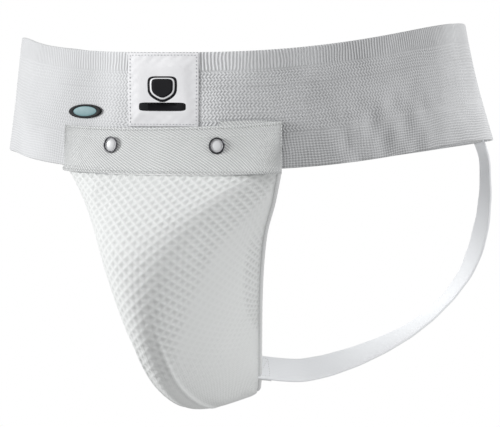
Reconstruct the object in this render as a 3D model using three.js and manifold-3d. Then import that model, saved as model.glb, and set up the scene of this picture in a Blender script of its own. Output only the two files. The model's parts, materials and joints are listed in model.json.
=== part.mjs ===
// Groin protector: elastic waistband, mesh pocket with a hard cup, stud-closed flap, two leg straps.
// Millimetres. +Z up, the wearer's front faces -Y. The origin is the centre of the waistband's ring.
import * as THREE from 'three';
import { mergeVertices } from 'three/addons/utils/BufferGeometryUtils.js';
import Module from 'manifold-3d';

const wasm = await Module();
wasm.setup();

// ---------------------------------------------------------------- driving dimensions
const BAND_HEIGHT = 80;            // knitted elastic, at the front
const BAND_REAR_HEIGHT = 74;       // the same elastic, drawn narrower where it stretches round the back
const BAND_THICKNESS = 2.4;
const HIP_RISE = 32;               // how far the band climbs from its low front to the hips
const REAR_DROP = 16.5;            // and how far it comes down again behind
const HIP_FLARE = 6;               // the lower edge stands out where the leg straps join it
const TOP_HALF_WIDTH = 162.5;      // ring through the band's upper edge
const TOP_HALF_DEPTH = 111.5;
const BOTTOM_HALF_WIDTH = 176.5;   // ring through its lower edge, wider over the hips
const BOTTOM_HALF_DEPTH = 113.5;
const BOTTOM_SET_BACK = 9.5;       // the lower ring sits further back, over the seat
const RING_SQUARENESS = 2.2;       // superellipse exponent, 2 is a plain ellipse
const REAR_RIGHT_SAG = 16.3;       // the soft ring hangs a little lower behind the right hip

const FLAP_HALF_WIDTH = 83.5;      // chord of the flap and of the pocket's mouth
const FLAP_TOP = -11.5;            // height of the flap's free edge at the middle
const FLAP_SKEW = 1.8;             // its left end stands this much higher, its right end lower
const FLAP_STANDOFF = 3.2;         // room between flap and band for the press studs
const FLAP_THICKNESS = 1.6;
const HEM_HEIGHT = 6;
const HEM_THICKNESS = 0.8;

const MESH_THICKNESS = 1.6;
const LINING_THICKNESS = 1;
const CUP_THICKNESS = 3;
const CUP_EDGE_INSET = 10;         // from the pocket's edge to the cup's edge
const CUSHION_RADIUS = 2;
const CUP_TOP = 0.09;              // the cup's upper and lower ends along the pocket, 0 to 1
const CUP_BOTTOM = 0.8;
const VENT_RADIUS = 3;

const STUD_SPACING = 80;
const STUD_HEIGHT = -23.5;
const STUD_RADIUS = 5.7;

const STRAP_WIDTH = 19;
const STRAP_THICKNESS = 1.8;
const TAB_THICKNESS = 1.2;

const LABEL_X = -2.8;
const LABEL_WIDTH = 54;
const LABEL_HEIGHT = 50;
const LABEL_THICKNESS = 0.6;
const BADGE_WIDTH = 30;
const BADGE_HEIGHT = 9.7;
const BADGE_X = -67.5;
const BADGE_Z = 0;
const BADGE_THICKNESS = 1.1;

const FIT_GAP = 0.35;              // between two layers that touch on the real object

// ---------------------------------------------------------------- small helpers
const DEG = Math.PI / 180;
const vec = (x, y, z) => new THREE.Vector3(x, y, z);
const mix = (a, b, t) => a + (b - a) * t;
const signedPower = (value, power) => Math.sign(value) * Math.abs(value) ** power;
const ease = (low, high, value) => THREE.MathUtils.smoothstep(value, low, high);

// Welds a geometry, drops triangles with no area and turns its faces outwards.
function solid(geometry) {
  const bare = new THREE.BufferGeometry();
  bare.setAttribute('position', geometry.getAttribute('position').clone());
  if (geometry.index) bare.setIndex(geometry.index.clone());
  const welded = mergeVertices(bare, 1e-4);
  const position = welded.getAttribute('position');
  const [a, b, c] = [vec(0, 0, 0), vec(0, 0, 0), vec(0, 0, 0)];
  const kept = [];
  let volume = 0;
  for (let i = 0; i < welded.index.count; i += 3) {
    const [ia, ib, ic] = [0, 1, 2].map((k) => welded.index.getX(i + k));
    if (ia === ib || ib === ic || ic === ia) continue;
    kept.push(ia, ib, ic);
    a.fromBufferAttribute(position, ia);
    b.fromBufferAttribute(position, ib);
    c.fromBufferAttribute(position, ic);
    volume += a.dot(b.cross(c)) / 6;
  }
  welded.setIndex(volume < 0 ? kept.reverse() : kept);
  welded.computeVertexNormals();
  return welded;
}

// A sheet with thickness. faceAt(u, v, side) gives the outer (1) or inner (0) face, u and v from 0 to 1.
function shell(columns, rows, wrap, faceAt) {
  const across = wrap ? columns : columns + 1;
  const points = [];
  for (const side of [1, 0]) {
    for (let i = 0; i < across; i += 1) {
      for (let j = 0; j <= rows; j += 1) points.push(faceAt(i / columns, j / rows, side));
    }
  }
  const at = (side, i, j) => (1 - side) * across * (rows + 1) + (i % across) * (rows + 1) + j;
  const index = [];
  const quad = (p, q, r, s) => index.push(p, q, r, p, r, s);
  for (let i = 0; i < columns; i += 1) {
    for (let j = 0; j < rows; j += 1) {
      quad(at(1, i, j), at(1, i + 1, j), at(1, i + 1, j + 1), at(1, i, j + 1));
      quad(at(0, i, j), at(0, i, j + 1), at(0, i + 1, j + 1), at(0, i + 1, j));
    }
    quad(at(0, i, 0), at(0, i + 1, 0), at(1, i + 1, 0), at(1, i, 0));
    quad(at(1, i, rows), at(1, i + 1, rows), at(0, i + 1, rows), at(0, i, rows));
  }
  for (let j = 0; j < rows && !wrap; j += 1) {
    quad(at(1, 0, j), at(1, 0, j + 1), at(0, 0, j + 1), at(0, 0, j));
    quad(at(0, columns, j), at(0, columns, j + 1), at(1, columns, j + 1), at(1, columns, j));
  }
  return solid(new THREE.BufferGeometry().setFromPoints(points).setIndex(index));
}

// A bar through equal rings of points: closed on itself, or ended with a fan at each end.
function loft(rings, closed) {
  const size = rings[0].length;
  const points = rings.flat();
  const index = [];
  const spans = closed ? rings.length : rings.length - 1;
  for (let i = 0; i < spans; i += 1) {
    const next = ((i + 1) % rings.length) * size;
    for (let j = 0; j < size; j += 1) {
      const k = (j + 1) % size;
      index.push(i * size + j, next + j, next + k, i * size + j, next + k, i * size + k);
    }
  }
  if (!closed) {
    const last = (rings.length - 1) * size;
    for (let j = 1; j < size - 1; j += 1) {
      index.push(0, j, j + 1);
      index.push(last, last + j + 1, last + j);
    }
  }
  return solid(new THREE.BufferGeometry().setFromPoints(points).setIndex(index));
}

// A closed bar or ring turned about its own Y axis from a profile of [radius, height] pairs.
function turned(profile, sides) {
  return solid(new THREE.LatheGeometry(profile.map(([r, h]) => new THREE.Vector2(r, h)), sides));
}

function toManifold(geometry) {
  const vertProperties = new Float32Array(geometry.getAttribute('position').array);
  const triVerts = new Uint32Array(geometry.index.array);
  return new wasm.Manifold(new wasm.Mesh({ numProp: 3, vertProperties, triVerts }));
}

function fromManifold(manifold) {
  const mesh = manifold.getMesh();
  const geometry = new THREE.BufferGeometry();
  geometry.setAttribute('position', new THREE.BufferAttribute(new Float32Array(mesh.vertProperties), 3));
  geometry.setIndex([...mesh.triVerts]);
  return solid(geometry);
}

const groinProtector = new THREE.Group();

function addPart(name, geometry, finish, parent = groinProtector) {
  const mesh = new THREE.Mesh(geometry, new THREE.MeshStandardMaterial(finish));
  mesh.name = name;
  parent.add(mesh);
  return mesh;
}

const FINISH = {
  elastic: { color: 0xe4e6e6, roughness: 0.9, metalness: 0 },
  twill: { color: 0xe6e8e8, roughness: 0.85, metalness: 0 },
  mesh: { color: 0xe8ebea, roughness: 0.85, metalness: 0 },
  lining: { color: 0xdfe2e2, roughness: 0.9, metalness: 0 },
  satin: { color: 0xf2f2f0, roughness: 0.5, metalness: 0 },
  badge: { color: 0x1f5a63, roughness: 0.45, metalness: 0 },
  hardCup: { color: 0xeef0ee, roughness: 0.35, metalness: 0 },
  cushion: { color: 0xd5d8d6, roughness: 0.8, metalness: 0 },
  stud: { color: 0x3c3f42, roughness: 0.35, metalness: 0.9 },
};

// ---------------------------------------------------------------- the ring of the waistband
// Angles run from the front, positive towards the wearer's left hip at +X; rise is how far
// the band climbs over the hips from its low point at the front.
function rise(angle) {
  const turn = Math.atan2(Math.sin(angle), Math.cos(angle)) / DEG;
  const away = Math.abs(turn);
  const climb = 0.5 - 0.5 * Math.cos(Math.PI * Math.min(away / 110, 1));
  const overHip = HIP_RISE * climb ** 1.2;
  const downRear = REAR_DROP * ease(105, 190, away) ** 1.5;
  const sag = REAR_RIGHT_SAG * ease(50, 105, -turn) * (1 - ease(110, 175, -turn));
  return overHip - downRear - sag;
}

const bandHeightAt = (angle) => {
  const away = Math.abs(Math.atan2(Math.sin(angle), Math.cos(angle))) / DEG;
  return mix(BAND_HEIGHT, BAND_REAR_HEIGHT, ease(100, 150, away));
};

function hipFlare(angle, height) {
  const away = Math.abs(Math.atan2(Math.sin(angle), Math.cos(angle))) / DEG;
  return HIP_FLARE * ease(80, 112, away) * (1 - ease(132, 165, away)) * (1 - height) ** 2;
}

function bandPoint(angle, height, out) {
  const halfWidth = mix(BOTTOM_HALF_WIDTH, TOP_HALF_WIDTH, height);
  const halfDepth = mix(BOTTOM_HALF_DEPTH, TOP_HALF_DEPTH, height);
  const x = halfWidth * signedPower(Math.sin(angle), 2 / RING_SQUARENESS);
  const y = -halfDepth * signedPower(Math.cos(angle), 2 / RING_SQUARENESS);
  const normal = vec(
    signedPower(x / halfWidth, RING_SQUARENESS - 1) / halfWidth,
    signedPower(y / halfDepth, RING_SQUARENESS - 1) / halfDepth,
    0,
  ).normalize();
  const z = rise(angle) + (height - 0.5) * bandHeightAt(angle);
  return vec(x, y + BOTTOM_SET_BACK * (1 - height), z)
    .addScaledVector(normal, out + hipFlare(angle, height));
}

// The same face found from a distance across the front and a height above the origin.
function bandFront(x, z, out) {
  let height = 0.5;
  let angle = 0;
  for (let step = 0; step < 6; step += 1) {
    const halfWidth = mix(BOTTOM_HALF_WIDTH, TOP_HALF_WIDTH, height);
    angle = Math.asin(signedPower(x / halfWidth, RING_SQUARENESS / 2));
    height = (z - rise(angle)) / bandHeightAt(angle) + 0.5;
  }
  return bandPoint(angle, height, out);
}

function waistbandElastic() {
  return shell(64, 3, true, (u, v, side) => bandPoint(u * 360 * DEG, v, (side - 1) * BAND_THICKNESS));
}

const SEAM_TAPE_HALF_ANGLE = 6.5;
const SEAM_TAPE_THICKNESS = 1;
function waistbandSeamTape() {
  const outer = -BAND_THICKNESS - FIT_GAP;
  return shell(4, 2, false, (u, v, side) => bandPoint(
    (180 + SEAM_TAPE_HALF_ANGLE * (2 * u - 1)) * DEG,
    mix(0.03, 0.97, v),
    outer - (1 - side) * SEAM_TAPE_THICKNESS,
  ));
}

function frontLabel() {
  const top = BAND_HEIGHT / 2 - 0.6;
  return shell(6, 2, false, (u, v, side) => {
    const x = LABEL_X + LABEL_WIDTH * (u - 0.5);
    return bandFront(x, top - LABEL_HEIGHT * (1 - v), FIT_GAP + side * LABEL_THICKNESS);
  });
}

function ovalBadge() {
  // Rings of a disc squeezed to an oval; the middle is a small flat oval.
  const edge = (turn, size, out) => bandFront(
    BADGE_X + (BADGE_WIDTH / 2) * size * Math.cos(turn),
    BADGE_Z + (BADGE_HEIGHT / 2) * size * Math.sin(turn),
    out,
  );
  const sides = 20;
  const ringOf = (size, out) => Array.from(
    { length: sides },
    (_, i) => edge(i * 360 * DEG / sides, size, out),
  );
  return loft([
    ringOf(0.3, FIT_GAP), ringOf(1, FIT_GAP), ringOf(1, FIT_GAP + BADGE_THICKNESS * 0.6),
    ringOf(0.9, FIT_GAP + BADGE_THICKNESS), ringOf(0.3, FIT_GAP + BADGE_THICKNESS),
  ], false);
}

// ---------------------------------------------------------------- the pocket's shape
// The pocket is a bowl open towards the body. Its two side edges and the crest of its front
// are curves from the mouth down to the tail between the legs; an arch joins them at each station.
const SIDE_EDGE = new THREE.CatmullRomCurve3([
  vec(80, -97, -40), vec(69.5, -82.5, -60), vec(59, -71, -79), vec(49.8, -56, -98),
  vec(40, -37, -124), vec(32, -19, -153), vec(25.5, -4, -180), vec(19, 8, -190),
]);
const CREST = new THREE.CatmullRomCurve3([
  vec(0, -115, -43.5), vec(0, -129, -61), vec(0, -139.5, -80), vec(0, -146, -103),
  vec(0, -142, -130), vec(0, -128, -158), vec(0, -98, -187), vec(0, -62, -201),
  vec(0, -28, -202), vec(0, 4, -196),
]);
const MOUTH_SQUARENESS = 2.25;
const TAIL_SQUARENESS = 1.8;
const squarenessAt = (s) => mix(MOUTH_SQUARENESS, TAIL_SQUARENESS, ease(0, 0.7, s));

// s runs from the mouth (0) to the tail (1); lean runs from -1 at the right edge to 1 at the left.
function archPoint(s, lean) {
  const edge = SIDE_EDGE.getPoint(s);
  const crest = CREST.getPoint(s);
  const power = 2 / squarenessAt(s);
  const turn = lean * 90 * DEG;
  const forward = Math.abs(Math.cos(turn)) ** power;
  return vec(
    edge.x * signedPower(Math.sin(turn), power),
    mix(edge.y, crest.y, forward),
    mix(edge.z, crest.z, forward),
  );
}

// The outward direction of the bowl's face, from two short steps along it.
function archNormal(s, lean) {
  const step = 0.004;
  const alongLow = archPoint(Math.max(s - step, 0), lean);
  const alongHigh = archPoint(Math.min(s + step, 1), lean);
  const held = THREE.MathUtils.clamp(lean, -0.985, 0.985);
  const acrossLow = archPoint(s, held - 0.01);
  const acrossHigh = archPoint(s, held + 0.01);
  return acrossHigh.sub(acrossLow).cross(alongLow.sub(alongHigh)).normalize();
}

const bowlPoint = (s, lean, out) => archPoint(s, lean).addScaledVector(archNormal(s, lean), out);

// The lean at which the arch is a given distance short of the pocket's edge.
function leanShortOf(s, distance) {
  const depth = SIDE_EDGE.getPoint(s).setX(0).distanceTo(CREST.getPoint(s));
  const share = Math.min(distance / depth, 0.9);
  return Math.acos(share ** (squarenessAt(s) / 2)) / (90 * DEG);
}

// A layer of the bowl between two stations. Its first columns from each side lie at the given
// distances from the pocket's edge and the rest are spread between them.
function bowlLayer(columns, rows, { from, to, margins, outer, inner }) {
  const last = margins.length - 1;
  return shell(columns, rows, false, (u, v, side) => {
    const s = mix(from, to, v);
    const column = Math.round(u * columns);
    const fromEdge = Math.min(column, columns - column);
    const sign = column * 2 < columns ? -1 : 1;
    const spread = (2 * column - columns) / (columns - 2 * last);
    const lean = fromEdge < last
      ? sign * leanShortOf(s, margins[fromEdge])
      : spread * leanShortOf(s, margins[last]);
    return bowlPoint(s, lean, side === 1 ? outer(s, lean) : inner(s, lean));
  });
}

const CUP_OUTER = -MESH_THICKNESS - 0.9;
const CUP_INNER = CUP_OUTER - CUP_THICKNESS;
const LINING_DEEP = CUP_INNER - 2.2;
const LINING_SHALLOW = -MESH_THICKNESS - FIT_GAP;

function pouchMesh() {
  return bowlLayer(26, 20, {
    from: 0, to: 1, margins: [0], outer: () => 0, inner: () => -MESH_THICKNESS,
  });
}

// The lining leaves the mesh at the pocket's edges and drops behind the cup in between.
function pouchLining() {
  const faceDepth = (s, lean) => {
    const depth = SIDE_EDGE.getPoint(s).setX(0).distanceTo(CREST.getPoint(s));
    const power = 2 / squarenessAt(s);
    const shortOf = depth * Math.abs(Math.cos(lean * 90 * DEG)) ** power;
    return mix(LINING_SHALLOW, LINING_DEEP, ease(1, 5, shortOf) * (1 - ease(0.86, 0.97, s)));
  };
  return bowlLayer(24, 16, {
    from: 0.005, to: 0.985, margins: [1, 3, 5.5], outer: faceDepth,
    inner: (s, lean) => faceDepth(s, lean) - LINING_THICKNESS,
  });
}

// The tape behind the seam between flap and mesh.
function pouchSeamTape() {
  const outer = -MESH_THICKNESS - FIT_GAP;
  return bowlLayer(18, 1, {
    from: 0.012, to: 0.042, margins: [8], outer: () => outer, inner: () => outer - 0.8,
  });
}

// The elastic binding just behind each side edge, as a rounded flat bar.
const BINDING_WIDTH = 5;
const BINDING_THICKNESS = 3.4;
function pouchBinding(side) {
  const stations = 22;
  const corners = [[0, 0.5], [0.35, 0.9], [1, 0.8], [1, -0.8], [0.35, -0.9], [0, -0.5]];
  const rings = [];
  for (let i = 0; i <= stations; i += 1) {
    const s = mix(0.002, 0.995, i / stations);
    const rim = archPoint(s, side);
    const normal = archNormal(s, side);
    const back = rim.clone().sub(archPoint(s, side * 0.93)).normalize();
    rings.push(corners.map(([away, proud]) => rim.clone()
      .addScaledVector(back, FIT_GAP + away * BINDING_WIDTH)
      .addScaledVector(normal, -MESH_THICKNESS / 2 + proud * BINDING_THICKNESS / 2)));
  }
  return loft(rings, false);
}

// ---------------------------------------------------------------- the hard cup
const VENT_ROWS = [
  { s: 0.24, leans: [-0.34, -0.12, 0.12, 0.34] },
  { s: 0.36, leans: [-0.24, 0, 0.24] },
  { s: 0.48, leans: [-0.34, -0.12, 0.12, 0.34] },
];

function cupShell() {
  const cup = bowlLayer(22, 14, {
    from: CUP_TOP, to: CUP_BOTTOM, margins: [CUP_EDGE_INSET], outer: () => CUP_OUTER, inner: () => CUP_INNER,
  });
  let body = toManifold(cup);
  for (const { s, leans } of VENT_ROWS) {
    for (const lean of leans) {
      const drill = new THREE.CylinderGeometry(VENT_RADIUS, VENT_RADIUS, CUP_THICKNESS * 4, 10);
      const normal = archNormal(s, lean);
      drill.applyQuaternion(new THREE.Quaternion().setFromUnitVectors(vec(0, 1, 0), normal));
      const centre = bowlPoint(s, lean, (CUP_OUTER + CUP_INNER) / 2);
      drill.translate(centre.x, centre.y, centre.z);
      body = body.subtract(toManifold(solid(drill)));
    }
  }
  return fromManifold(body);
}

// The soft lip runs round the cup's whole edge, just outside it.
function cupEdgeCushion() {
  const away = CUSHION_RADIUS + 3 * FIT_GAP;
  const centreDepth = (CUP_OUTER + CUP_INNER) / 2;
  const loop = [];
  const sideSteps = 16;
  const endSteps = 12;
  const inset = CUP_EDGE_INSET - away;
  const span = CUP_BOTTOM - CUP_TOP;
  const endReach = 0.03;
  const corner = 0.05;
  for (const side of [1, -1]) {
    for (let i = 0; i <= sideSteps; i += 1) {
      const t = side > 0 ? i / sideSteps : 1 - i / sideSteps;
      const s = CUP_TOP + span * t;
      loop.push(bowlPoint(s, side * leanShortOf(s, inset), centreDepth));
    }
    const s = side > 0 ? CUP_BOTTOM + endReach : CUP_TOP - endReach;
    const reach = leanShortOf(s, inset) - corner;
    for (let i = 0; i <= endSteps; i += 1) {
      loop.push(bowlPoint(s, side * reach * (1 - 2 * i / endSteps), centreDepth));
    }
  }
  const path = new THREE.CatmullRomCurve3(loop, true, 'centripetal');
  const stations = 72;
  const rings = [];
  for (let i = 0; i < stations; i += 1) {
    const at = path.getPointAt(i / stations);
    const along = path.getTangentAt(i / stations);
    const middle = vec(0, -60, -110);
    const first = at.clone().sub(middle).cross(along).normalize();
    const second = first.clone().cross(along).normalize();
    rings.push(Array.from({ length: 8 }, (_, k) => at.clone()
      .addScaledVector(first, CUSHION_RADIUS * Math.cos(k * 45 * DEG))
      .addScaledVector(second, CUSHION_RADIUS * Math.sin(k * 45 * DEG))));
  }
  return loft(rings, true);
}

// ---------------------------------------------------------------- the flap over the mouth
// Its lower edge follows the pocket's mouth and its upper edge follows the band.
const HINGE_GAP = 1;
function flapPoint(lean, height, out) {
  const low = archPoint(0, lean);
  low.x *= FLAP_HALF_WIDTH / archPoint(0, 1).x;
  low.z += HINGE_GAP;
  const x = low.x;
  const top = FLAP_TOP + rise(Math.asin(x / TOP_HALF_WIDTH)) + FLAP_SKEW * x / FLAP_HALF_WIDTH;
  const high = bandFront(x, top, FLAP_STANDOFF + FLAP_THICKNESS);
  const y = mix(low.y, high.y, Math.sin(height * 90 * DEG) ** 0.9);
  const normal = bandPoint(Math.asin(x / BOTTOM_HALF_WIDTH), 0.5, 1)
    .sub(bandPoint(Math.asin(x / BOTTOM_HALF_WIDTH), 0.5, 0));
  return vec(x, y, mix(low.z, high.z, height)).addScaledVector(normal, out);
}

function pocketFlap() {
  return shell(22, 5, false, (u, v, side) => flapPoint(
    (2 * u - 1) * 0.995,
    v,
    (side - 1) * FLAP_THICKNESS,
  ));
}

// The turned-in hem runs along the back of the flap's free edge.
function pocketFlapHem() {
  const flapHeight = flapPoint(0, 1, 0).z - flapPoint(0, 0, 0).z;
  return shell(20, 1, false, (u, v, side) => flapPoint(
    (2 * u - 1) * 0.98,
    0.99 - (HEM_HEIGHT / flapHeight) * (1 - v),
    -FLAP_THICKNESS - FIT_GAP - (1 - side) * HEM_THICKNESS,
  ));
}

// ---------------------------------------------------------------- press studs
const RING_WIRE = 1;
const POST_FLANGE = 0.8;
const SOCKET_THICKNESS = 1.3;

const ringProfile = (radius, thickness) => [
  [radius - RING_WIRE, 0], [radius - 0.25, 0], [radius, 0.3], [radius, thickness - 0.3],
  [radius - 0.3, thickness], [radius - RING_WIRE + 0.2, thickness],
  [radius - RING_WIRE, thickness - 0.2], [radius - RING_WIRE, 0],
];
const POST_PROFILE = [
  [0, 0], [4.9, 0], [4.9, POST_FLANGE * 0.7], [4.5, POST_FLANGE], [1.5, POST_FLANGE],
  [1.5, 1.5], [1.8, 1.9], [1.4, 2.3], [0, 2.3],
];
const SOCKET_PROFILE = [
  [2.6, 0], [4.6, 0], [5, 0.3], [5, SOCKET_THICKNESS], [2.6, SOCKET_THICKNESS], [2.6, 0],
];

function pressStud(side, word) {
  const x = side * STUD_SPACING / 2;
  const onBand = bandFront(x, STUD_HEIGHT, 0);
  const outward = bandFront(x, STUD_HEIGHT, 1).sub(onBand).normalize();
  // The lean at which the flap passes over the stud, and the flap's outer face there.
  let lean = side * 0.4;
  for (let step = 0; step < 20; step += 1) {
    lean += (x - flapPoint(lean, 0.6, 0).x) / 140;
  }
  const low = flapPoint(lean, 0, 0).z;
  const high = flapPoint(lean, 1, 0).z;
  const flapFace = flapPoint(lean, (STUD_HEIGHT - low) / (high - low), 0);
  const flapOut = flapFace.sub(onBand).dot(outward);
  const place = (name, profile, out) => {
    const piece = addPart(`${name}_${word}`, turned(profile, 24), FINISH.stud);
    piece.position.copy(onBand).addScaledVector(outward, out);
    piece.quaternion.setFromUnitVectors(vec(0, 1, 0), outward);
  };
  place('stud_ring_cap', ringProfile(STUD_RADIUS, 1), flapOut + 1.1);
  place('stud_socket', SOCKET_PROFILE, flapOut - FLAP_THICKNESS - 0.5 - SOCKET_THICKNESS);
  place('stud_post', POST_PROFILE, FIT_GAP + 0.1);
  place('stud_back_ring', ringProfile(STUD_RADIUS - 0.2, 1), -BAND_THICKNESS - FIT_GAP - 1.25);
}

// ---------------------------------------------------------------- leg straps
// The left strap's middle line; the right one is its mirror image. It leaves the tail of the
// pocket, rounds the seat below the buttock and ends inside the band's lower edge.
const STRAP_LINE = [
  vec(25.5, 3, -172.5), vec(47, 26, -173), vec(83, 59, -157), vec(113, 85, -133),
  vec(135, 98, -102), vec(152.5, 88, -62),
];
const STRAP_EDGE_LOW = vec(-0.4, 0.5, 1);      // direction of the strap's width at its lower end
const STRAP_EDGE_HIGH = vec(-0.8, 0.6, 0);     // and where it nears the band
const STRAP_SEAT_ANGLE = 122;                  // where it is sewn inside the band
const STRAP_SEAT_HEIGHTS = [-0.14, 0.03, 0.2]; // from just below the band's edge to its end

function strapFrame(side, t) {
  const inside = -BAND_THICKNESS - 3 * FIT_GAP - STRAP_THICKNESS / 2;
  const seat = STRAP_SEAT_HEIGHTS.map((h) => bandPoint(side * STRAP_SEAT_ANGLE * DEG, h, inside));
  const free = STRAP_LINE.map((p) => vec(p.x * side, p.y, p.z));
  const line = new THREE.CatmullRomCurve3([...free, ...seat]);
  const at = line.getPointAt(t);
  const along = line.getTangentAt(t);
  const edge = STRAP_EDGE_LOW.clone().lerp(STRAP_EDGE_HIGH, ease(0.05, 0.6, t));
  edge.x *= side;
  const alongBand = bandPoint(side * (STRAP_SEAT_ANGLE + 1) * DEG, 0.1, 0)
    .sub(bandPoint(side * (STRAP_SEAT_ANGLE - 1) * DEG, 0.1, 0)).setZ(0).normalize();
  edge.lerp(alongBand, ease(0.7, 0.9, t));
  const width = edge.addScaledVector(along, -edge.dot(along)).normalize();
  return { at, along, width, face: along.clone().cross(width).multiplyScalar(side) };
}

const strapBar = (side, steps, from, to, width, low, high) => shell(steps, 2, false, (u, v, top) => {
  const frame = strapFrame(side, mix(from, to, u));
  return frame.at.clone()
    .addScaledVector(frame.width, (v - 0.5) * width)
    .addScaledVector(frame.face, top === 1 ? high : low);
});

function legStrap(side) {
  return strapBar(side, 30, 0, 1, STRAP_WIDTH, -STRAP_THICKNESS / 2, STRAP_THICKNESS / 2);
}

function strapTab(side) {
  const high = -STRAP_THICKNESS / 2 - FIT_GAP;
  return strapBar(side, 2, 0.004, 0.045, STRAP_WIDTH - 0.6, high - TAB_THICKNESS, high);
}

function strapAnchor(side) {
  const low = STRAP_THICKNESS / 2 + FIT_GAP;
  return strapBar(side, 2, 0.945, 0.995, STRAP_WIDTH - 0.6, low, low + TAB_THICKNESS);
}

// ---------------------------------------------------------------- assembly
addPart('waistband_elastic', waistbandElastic(), FINISH.elastic);
addPart('waistband_seam_tape', waistbandSeamTape(), FINISH.elastic);
addPart('front_label', frontLabel(), FINISH.satin);
addPart('oval_badge', ovalBadge(), FINISH.badge);
addPart('pocket_flap', pocketFlap(), FINISH.twill);
addPart('pocket_flap_hem', pocketFlapHem(), FINISH.twill);
addPart('pouch_mesh', pouchMesh(), FINISH.mesh);
addPart('pouch_lining', pouchLining(), FINISH.lining);
addPart('pouch_seam_tape', pouchSeamTape(), FINISH.twill);
addPart('cup_shell', cupShell(), FINISH.hardCup);
addPart('cup_edge_cushion', cupEdgeCushion(), FINISH.cushion);
for (const [side, word] of [[1, 'left'], [-1, 'right']]) {
  addPart(`pouch_binding_${word}`, pouchBinding(side), FINISH.elastic);
  addPart(`leg_strap_${word}`, legStrap(side), FINISH.elastic);
  addPart(`strap_tab_${word}`, strapTab(side), FINISH.elastic);
  addPart(`strap_anchor_${word}`, strapAnchor(side), FINISH.elastic);
  pressStud(side, word);
}

export default groinProtector;
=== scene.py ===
# %% [markdown]
# # A groin protector in cloth, elastic and moulded plastic
#
# A groin protector is a wide knitted waistband with a pocket of mesh sewn below its front. The pocket
# holds a hard cup, a twill flap with two press studs closes over its mouth, and two elastic straps
# run from its tail, under the seat, to the back of the band.
#
# The measured part is already there as a frame of plain solids. This lesson dresses it: every soft
# solid is stood for by cloth with rounded edges, real thickness, seams and stitches, and the hard
# pieces keep their solids and get a finish.

# %% Load the frame
import json
import math

import bpy
import numpy as np
from mathutils import Matrix, Vector

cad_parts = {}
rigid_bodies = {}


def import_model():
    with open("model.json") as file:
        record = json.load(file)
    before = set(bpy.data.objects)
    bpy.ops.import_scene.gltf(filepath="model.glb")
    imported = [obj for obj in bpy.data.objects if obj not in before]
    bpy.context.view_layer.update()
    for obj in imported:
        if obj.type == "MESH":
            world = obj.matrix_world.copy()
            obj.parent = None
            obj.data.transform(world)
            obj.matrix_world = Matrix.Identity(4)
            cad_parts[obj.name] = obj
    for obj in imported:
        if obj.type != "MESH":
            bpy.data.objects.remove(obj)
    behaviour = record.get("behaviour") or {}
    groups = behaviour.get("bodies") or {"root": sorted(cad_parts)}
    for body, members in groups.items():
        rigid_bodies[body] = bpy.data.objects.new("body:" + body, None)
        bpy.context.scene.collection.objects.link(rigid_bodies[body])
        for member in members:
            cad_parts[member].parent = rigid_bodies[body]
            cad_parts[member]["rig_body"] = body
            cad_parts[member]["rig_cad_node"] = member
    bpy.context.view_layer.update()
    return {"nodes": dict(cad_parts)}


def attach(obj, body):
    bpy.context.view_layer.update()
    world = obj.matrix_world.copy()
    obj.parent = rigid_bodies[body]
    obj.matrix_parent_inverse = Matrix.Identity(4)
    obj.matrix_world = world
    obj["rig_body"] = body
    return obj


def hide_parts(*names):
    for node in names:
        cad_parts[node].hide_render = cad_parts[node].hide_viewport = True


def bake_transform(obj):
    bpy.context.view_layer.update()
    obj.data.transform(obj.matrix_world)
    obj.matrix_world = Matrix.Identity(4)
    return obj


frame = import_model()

MM = 0.001

# %% [markdown]
# ## The ring of the waistband
#
# The band is an oval ring that is low at the belly, climbs over the hips and comes down a little
# behind. It could be drawn by hand as a loop of points. A formula is better here, because the label,
# the badge, the flap and the strap ends all have to lie on the same curved face, and each of them can
# ask the formula where that face is. Angles run from the front, positive towards the left hip; all
# lengths are in millimetres until a mesh is made.

# %% The band as a formula
BAND_HEIGHT = 80.0
BAND_REAR_HEIGHT = 74.0
BAND_THICKNESS = 2.4
TOP_RING = (162.5, 111.5)
BOTTOM_RING = (176.5, 113.5)
BOTTOM_SET_BACK = 9.5
SQUARENESS = 2.2
FIT_GAP = 0.35


def mix(low, high, share):
    return low + (high - low) * share


def ease(low, high, value):
    share = np.clip((value - low) / (high - low), 0.0, 1.0)
    return share * share * (3 - 2 * share)


def signed_power(value, power):
    return np.sign(value) * np.abs(value) ** power


def unit(vectors):
    return vectors / np.maximum(np.linalg.norm(vectors, axis=-1, keepdims=True), 1e-9)


def points(x, y, z):
    return np.stack(np.broadcast_arrays(x, y, z), axis=-1).astype(float)


def run_of(line):
    """The distance along a line of points, from its first point to each of them."""
    return np.concatenate([[0], np.cumsum(np.linalg.norm(np.diff(line, axis=0), axis=1))])


def read_along(run, what, where):
    """The values that a line carries, read at places between its points."""
    return np.stack([np.interp(where, run, what[:, k]) for k in range(3)], -1)


def band_rise(angle):
    turn = (np.asarray(angle, float) + 180) % 360 - 180
    away = np.abs(turn)
    climb = 0.5 - 0.5 * np.cos(np.pi * np.minimum(away / 110, 1))
    sag = 16.3 * ease(50, 105, -turn) * (1 - ease(110, 175, -turn))
    settle = 1.3 * ease(105, 150, away)
    return 32 * climb**1.2 - 16.5 * ease(105, 190, away) ** 1.5 - sag - settle


def band_height(angle):
    away = np.abs((np.asarray(angle, float) + 180) % 360 - 180)
    return mix(BAND_HEIGHT, BAND_REAR_HEIGHT, ease(100, 150, away))


def band_softness(angle, height):
    """Knitted elastic is never quite flat: shallow waves, deeper low down behind the flap's left end."""
    turn = np.radians(angle)
    waves = 0.35 * np.sin(7 * turn + 3 * height) + 0.2 * np.sin(17 * turn - 5 * height + 1)
    pucker = ease(34, 44, angle) * (1 - ease(62, 80, angle)) * (1 - ease(0.25, 0.7, height))
    return waves + pucker * (1.1 * np.sin(38 * turn + 9 * height) + 0.5 * np.sin(61 * turn - 14 * height))


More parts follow.
